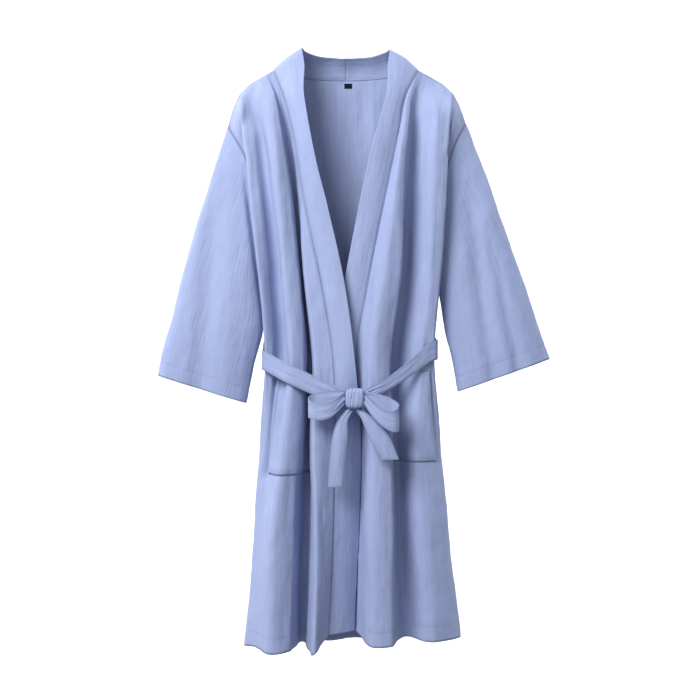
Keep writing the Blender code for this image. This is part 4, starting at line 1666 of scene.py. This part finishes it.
@dataclass
class Studio:
    """Camera, lights, world and pale floor."""

    eye: tuple[float, float, float] = (0.0077, -2.6, -0.534)
    lens: float = 69.64
    floor_z: float = -1.42
    world: float = 0.37
    sky: tuple[float, float, float, float] = (0.88, 0.93, 1.0, 1.0)
    floor_length: float = 16.0
    floor_half: float = 9.0
    floor_near: float = 8.0
    flat: float = 10.0
    turn: float = 1.5
    radius: float = 0.95
    lamps: tuple[Lamp, ...] = (
        Lamp("key_box", (-1.52, -2.06, 1.34), (0.0, 0.0, -0.55), 1.9, 130.0),
        Lamp("front_box", (0.3, -2.9, 1.1), (0.0, 0.0, -0.5), 1.6, 8.0),
        Lamp("wall_box_right", (-2.4, 1.0, 0.9), (-0.3, 2.5, -0.9), 1.6, 80.0),
        Lamp("wall_box_left", (2.4, 1.0, 0.9), (0.3, 2.5, -1.0), 1.6, 90.0),
    )

    def build(self) -> None:
        """Make the studio."""
        camera = show("camera", bpy.data.cameras.new("camera"))
        camera.location = self.eye
        camera.rotation_euler = (math.pi / 2, 0.0, 0.0)
        camera.data.lens = self.lens
        camera.data.clip_end = 50.0
        bpy.context.scene.camera = camera
        world = bpy.data.worlds.new("studio")
        world.use_nodes = True
        background = world.node_tree.nodes["Background"]
        background.inputs["Color"].default_value = self.sky
        background.inputs["Strength"].default_value = self.world
        bpy.context.scene.world = world
        bpy.context.scene.view_settings.view_transform = "Standard"
        for lamp in self.lamps:
            lamp.build()
        self.floor()

    def floor(self) -> None:
        """A pale floor that curves up behind the robe."""
        work = bmesh.new()
        bmesh.ops.create_grid(work, x_segments=8, y_segments=64, size=1.0)
        for vert in work.verts:
            run = (vert.co.y + 1) / 2 * self.floor_length
            angle = min(max((run - self.flat) / self.turn, 0.0), 1.0) * math.pi / 2
            y = min(run, self.flat) + self.radius * math.sin(angle) - self.floor_near
            z = self.floor_z + self.radius * (1 - math.cos(angle)) + max(run - self.flat - self.turn, 0.0)
            vert.co = (vert.co.x * self.floor_half, y, z)
        bmesh.ops.recalc_face_normals(work, faces=work.faces)
        mesh = bpy.data.meshes.new("pale_floor")
        work.to_mesh(mesh)
        work.free()
        floor = show_mesh(mesh, shaded("pale_paper", Base_Color=(0.93, 0.93, 0.93, 1.0), Roughness=0.9)[0])
        floor.visible_diffuse = False


SEAM_RIGHT = SideSeam(
    armhole=((-226.5, 0, -106), (-213, -9, -128), (-199, -14, -152), (-187, -16, -178), (-177, -16, -206),
             (-169, -15, -236), (-162, -13, -268), (-157, -9, -300), (-153, 0, -335)),
    below=((-335, -153), (-400, -144), (-470, -145), (-545, -148), (-600, -150), (-700, -157), (-900, -172),
           (-1090, -188)),
    hem=-1095)
SEAM_LEFT = SideSeam(
    armhole=((230, 0, -101), (217, -9, -125), (205, -14, -150), (195, -16, -178), (186, -16, -206),
             (179, -15, -236), (173, -13, -267), (168, -9, -298), (164, 0, -332)),
    below=((-332, 164), (-400, 158), (-470, 159), (-545, 162), (-600, 164), (-700, 174), (-900, 194),
           (-1080, 212)),
    hem=-1079)

FRONT_RIGHT = BodyPanel(
    name="front_right", face=Face.FRONT, outward=-1, seams=(SEAM_RIGHT,), cut=Cut(0.4, 1.12, 0.318),
    relief=Relief(creases=(
        Crease(((-207, -38), (-201, -110), (-194, -175)), 3.5, 4.5, 20),
        Crease(((-201, -38), (-195, -110), (-188, -175)), 4.0, -1.6, 20),
        Crease(((-170, -70), (-153, -212), (-139, -326), (-130, -439), (-121, -570), (-119, -640)), 8.0, 15.0,
               85),
        Crease(((-130, -560), (-140, -660), (-153, -785)), 3.6, 9.0, 25),
        Crease(((-180, -640), (-186, -820), (-196, -1000)), 12.0, 3.0, 90),
    )),
    lines=(
        FoldLine("side_fold", -203, -1095, 2, 0.2,
                 (-200, -190, -179, -163, -152, -161, -176, -193), (-16, -34, -46, -46, -38, -36, -32, -28)),
        FoldLine("side_valley", -190, -1092, 3, 0.0,
                 (-184, -172, -152, -135, -125, -140, -162, -169), (-20, -34, -38, -32, -28, -48, -52, -56)),
        FoldLine("long_ridge", -166, -1097, 2, 0.0,
                 (-148, -137, -123, -113, -101, -113, -132, -136), (-26, -46, -62, -62, -66, -84, -94, -100)),
        FoldLine("ridge_edge", -154, -1094, 3, 0.5,
                 (-136, -124, -106, -90, -79, -90, -101, -104), (-24, -40, -52, -54, -56, -70, -78, -86)),
        FoldLine("slit", -147, -1090, 3, 0.0,
                 (-129.5, -115, -95, -83, -69, -71, -79, -85), (-13, -11, -6, -4, -4, -8, -12, -18)),
        FoldLine("narrow_ridge", -142, -1096, 3, 0.3,
                 (-122, -106, -85, -74, -58, -59, -53, -58), (-20, -30, -46, -58, -66, -86, -98, -104)),
        FoldLine("collar_seam", -138, -1067, 0, 0.0,
                 (-118, -102, -79, -47, -24, -20, -24, -34), (-20, -34, -50, -58, -64, -69, -67, -66)),
    ))
FRONT_LEFT = BodyPanel(
    name="front_left", face=Face.FRONT, outward=1, seams=(SEAM_LEFT,), cut=Cut(0.357, 1.115, 0.28),
    relief=Relief(seed=13.0, creases=(
        Crease(((209, -36), (202, -110), (195, -175)), 4.0, 6.5, 20),
        Crease(((202, -36), (195, -110), (188, -175)), 4.0, -1.8, 20),
        Crease(((150, -260), (148, -400), (140, -520)), 9.0, 3.0, 70),
        Crease(((162, -560), (168, -660), (176, -765)), 3.0, 3.5, 25),
        Crease(((188, -640), (196, -820), (204, -1000)), 12.0, 3.0, 90),
    )),
    lines=(
        FoldLine("side_fold", 205, -1078, 3, 0.2,
                 (203, 195, 187, 177, 166, 179, 199, 217), (-16, -34, -44, -44, -38, -34, -34, -32)),
        FoldLine("side_ridge", 185, -1080, 3, 0.0,
                 (180, 174, 166, 158, 146, 132, 147, 157), (-22, -40, -50, -50, -44, -60, -66, -72)),
        FoldLine("slit", 148, -1078, 3, 0.0,
                 (134, 128, 120, 109, 91, 95, 105, 116), (-12, -14, -14, -13, -14, -18, -22, -28)),
        FoldLine("ridge_edge", 143, -1084, 2, 0.5,
                 (125, 117, 108, 101, 84, 84, 84, 83), (-22, -42, -60, -64, -62, -80, -88, -94)),
        FoldLine("long_ridge", 140.5, -1085, 4, 0.0,
                 (119, 110, 91, 70, 47, 56, 51, 56), (-24, -45, -68, -74, -76, -86, -94, -98)),
        FoldLine("collar_seam", 138, -1066, 0, 0.0,
                 (114, 102, 74, 43, 19, 27, 23, 17), (-20, -36, -52, -50, -50, -39, -34, -34)),
    ))
BACK = BodyPanel(
    name="back", face=Face.BACK, outward=1, seams=(SEAM_RIGHT, SEAM_LEFT), cut=Cut(0.625, 1.125, 0.53),
    fineness=4,
    relief=Relief(seed=27.0, creases=(
        Crease(((-70, -90), (-58, -260), (-40, -500)), 11.0, 4.0, 90),
        Crease(((96, -120), (80, -300), (62, -505)), 12.0, 4.5, 90),
        Crease(((28, -300), (30, -420), (26, -510)), 8.0, 3.5, 70),
        Crease(((-120, -150), (-112, -320), (-98, -505)), 9.0, 3.5, 80),
        Crease(((-62, -560), (-66, -760), (-72, -1060)), 12.0, 4.0, 90),
        Crease(((44, -560), (48, -700), (50, -860)), 9.0, 4.0, 80),
        Crease(((126, -560), (140, -760), (156, -1000)), 13.0, 4.5, 90),
    )),
    lines=(
        FoldLine("side_fold_right", -203, -1096, 2, 0.2,
                 (-200, -190, -179, -163, -152, -161, -176, -193), (20, 36, 46, 46, 38, 40, 42, 44)),
        FoldLine("valley_right", -170, -1097, 3, 0.0,
                 (-160, -150, -132, -120, -112, -120, -128, -134), (32, 44, 44, 38, 36, 40, 38, 34)),
        FoldLine("neck_right", -138, -1099, 2, 0.0,
                 (-130, -122, -108, -99, -91, -98, -106, -112), (42, 52, 54, 50, 47, 56, 61, 64)),
        FoldLine("ridge_right", -108, -1100, 3, 0.0,
                 (-102, -96, -84, -76, -68, -74, -82, -88), (52, 60, 63, 61, 56, 70, 80, 88)),
        FoldLine("soft_valley_right", -52, -1101, 3, 0.0,
                 (-48, -44, -38, -33, -28, -31, -33, -35), (61, 62, 58, 51, 49, 52, 49, 44)),
        FoldLine("centre_ridge", 0, -1103, 3, 0.0,
                 (2, 4, 8, 12, 14, 14, 16, 20), (64, 65, 65, 62, 57, 68, 76, 83)),
        FoldLine("soft_valley_left", 52, -1100, 3, 0.0,
                 (53, 55, 58, 59, 58, 62, 66, 71), (61, 61, 56, 51, 49, 52, 47, 43)),
        FoldLine("ridge_left", 108, -1096, 2, 0.0,
                 (104, 102, 98, 95, 90, 100, 112, 119), (52, 60, 62, 60, 55, 68, 79, 86)),
        FoldLine("neck_left", 138, -1092, 3, 0.0,
                 (132, 125, 117, 113, 107, 119, 131, 141), (42, 52, 54, 49, 46, 54, 60, 62)),
        FoldLine("valley_left", 172, -1086, 2, 0.0,
                 (165, 156, 144, 137, 129, 142, 155, 167), (32, 44, 43, 38, 35, 38, 38, 36)),
        FoldLine("side_fold_left", 205, -1080, 2, 0.2,
                 (203, 195, 187, 177, 166, 179, 199, 217), (20, 36, 46, 46, 38, 38, 40, 42)),
    ))
SLEEVE_CREASES = (
    SleeveCrease((-240, -170), (-278, -590), 24, 11, Face.FRONT),
    SleeveCrease((-197, -165), (-157, -480), 5, 8, Face.FRONT),
    SleeveCrease((-250, -230), (-300, -560), 16, 6, Face.BACK),
    SleeveCrease((-206, -280), (-230, -600), 14, 4, Face.BACK),
    SleeveCrease((231, -190), (276, -560), 17, 8, Face.FRONT),
    SleeveCrease((262, -260), (322, -540), 13, 5, Face.FRONT),
    SleeveCrease((255, -230), (312, -560), 16, 6, Face.BACK),
    SleeveCrease((205, -300), (250, -590), 14, 4, Face.BACK),
)
SLEEVES = (
    Sleeve("sleeve_right", Side.RIGHT, SEAM_RIGHT,
           ((-226.5, -106), (-255, -194), (-284, -286), (-311, -378), (-334, -471), (-353, -540),
            (-361, -583)),
           ((-153, -335), (-158, -390), (-160, -440), (-160, -495), (-178, -566), (-191, -636)),
           Cut(0.492, 0.492, 0.146), SLEEVE_CREASES),
    Sleeve("sleeve_left", Side.LEFT, SEAM_LEFT,
           ((230, -101), (267, -194), (299.5, -286), (332, -378), (363, -471), (391, -551)),
           ((164, -332), (172, -390), (179, -430), (190.5, -500), (205, -559), (214, -614)),
           Cut(0.488, 0.48, 0.141), SLEEVE_CREASES),
)
COLLARS = (
    CollarBand("collar_right", Side.RIGHT, z=(44, 8, -40, -94, -148, -198), x=(-84, -79, -80, -72, -62, -51),
               y=(-2, -16, -36, -49, -56, -59),
               low=((-248, -38, -61), (-400, -4, -68), (-545, 16, -74), (-700, 28, -50), (-900, 23, -41),
                    (-1090, 13, -41)),
               cut=Cut(0.062, 1.25, 0.06)),
    CollarBand("collar_left", Side.LEFT, z=(42, 8, -40, -94, -148, -198), x=(84, 80, 78, 65, 49, 38),
               y=(-2, -16, -36, -50, -60, -62),
               low=((-248, 27, -62), (-400, -2, -52), (-545, -24, -46), (-700, -19, -39), (-900, -22, -34),
                    (-1090, -28, -33)),
               cut=Cut(0.062, 1.25, 0.06)),
)
POCKET_RIGHT = Pocket("pocket_right", 4, 13, -575, -767, Cut(0.157, 0.196))
POCKET_LEFT = Pocket("pocket_left", 3, 10, -575, -746, Cut(0.135, 0.172))
LOOPS = (
    BowLoop("bow_loop_right", (
        (-2.2, -97.4, -608, -630), (-20, -97.8, -608, -642), (-42, -97.8, -611, -649),
        (-60, -98.6, -615, -653), (-68.5, -104, -621, -658), (-65, -112, -627, -660),
        (-48, -117, -630, -663), (-28, -116, -628, -658),
        (-10, -109.5, -616, -642), (-2.2, -105, -610, -634)), Cut(0.037, 0.16, 0.005, held=Held.FOLDED)),
    BowLoop("bow_loop_left", (
        (34.6, -97.4, -612, -632), (50, -98.5, -613, -647), (70, -100.5, -618, -662), (88, -103, -626, -674),
        (97.5, -109, -634, -682), (93, -116.5, -643, -685), (76, -120, -645, -680), (57, -117, -636, -665),
        (42, -110, -622, -647), (34.6, -105, -615, -635)), Cut(0.04, 0.16, 0.0054, held=Held.FOLDED)),
)
ENDS = (
    SashEnd("belt_tail_right", (
        (-644.0, 1, 14, -97), (-660, -13, 5, -102), (-690, -24, 3, -105), (-720, -28, 0, -105),
        (-752, -31, -3, -104), (-787, -33, -5, -102)), Cut(0.03, 0.15, 0.0041)),
    SashEnd("belt_tail_left", (
        (-644.0, 16, 29, -97), (-658, 27, 47, -103), (-678, 36, 68, -106), (-698, 44, 82, -107),
        (-716, 54, 90, -107), (-736, 66, 98, -106)), Cut(0.037, 0.118, 0.0033)),
)

BLUE_LIGHT = (0.325, 0.383, 0.60)
BLUE_DARK = (0.275, 0.327, 0.52)


def main() -> None:
    """Build the robe's pieces in order, then the studio."""
    logging.basicConfig(level=logging.INFO, format="%(name)s: %(message)s")
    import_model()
    body = CottonFinish("cotton_body", BLUE_LIGHT, BLUE_DARK, 0.0015, 0.027).material()
    band = CottonFinish("cotton_band", BLUE_LIGHT, BLUE_DARK, 0.003, 0.02, hem_pucker=0.1).material()
    # The pocket's edges carry a wider painted shade, standing in for the shadow of the gap along its sides.
    patch = CottonFinish("cotton_pocket", BLUE_LIGHT, BLUE_DARK, 0.002, 0.022, 0.7, second_seam=0.008,
                         seam_shade_reach=0.0016).material()
    strap = CottonFinish("cotton_sash", BLUE_LIGHT, BLUE_DARK, 0.003, 0.5, 0.4, crumple=0.8).material()
    for panel in (BACK, FRONT_RIGHT, FRONT_LEFT):
        panel.build(body)
    for sleeve in SLEEVES:
        sleeve.build(body)
    back, right, left = BACK.smooth(), FRONT_RIGHT.smooth(), FRONT_LEFT.smooth()
    for collar, front in zip(COLLARS, (right, left)):
        collar.build(front, back, band)
    POCKET_RIGHT.build(FRONT_RIGHT, patch)
    POCKET_LEFT.build(FRONT_LEFT, patch)
    around = [(right, SOLID_WALL / 2), (left, SOLID_WALL / 2), (back, SOLID_WALL / 2),
              (COLLARS[0].smooth(right, back), HALF_SOLID_BAND),
              (POCKET_RIGHT.surface(FRONT_RIGHT, right, SOLID_POCKET_LIFT), SOLID_WALL / 2),
              (POCKET_LEFT.surface(FRONT_LEFT, left, SOLID_POCKET_LIFT), SOLID_WALL / 2)]
    Sash(Cut(0.037, 0.86, 0.0306, held=Held.STRETCHED)).build(around, strap)
    Knot().build(strap)
    for strip in LOOPS + ENDS:
        strip.build(strap)
    NeckLabel(Cut(0.015, 0.010)).build(BACK.worn(), TagFinish().material())
    Studio().build()


if __name__ == "__main__":
    main()
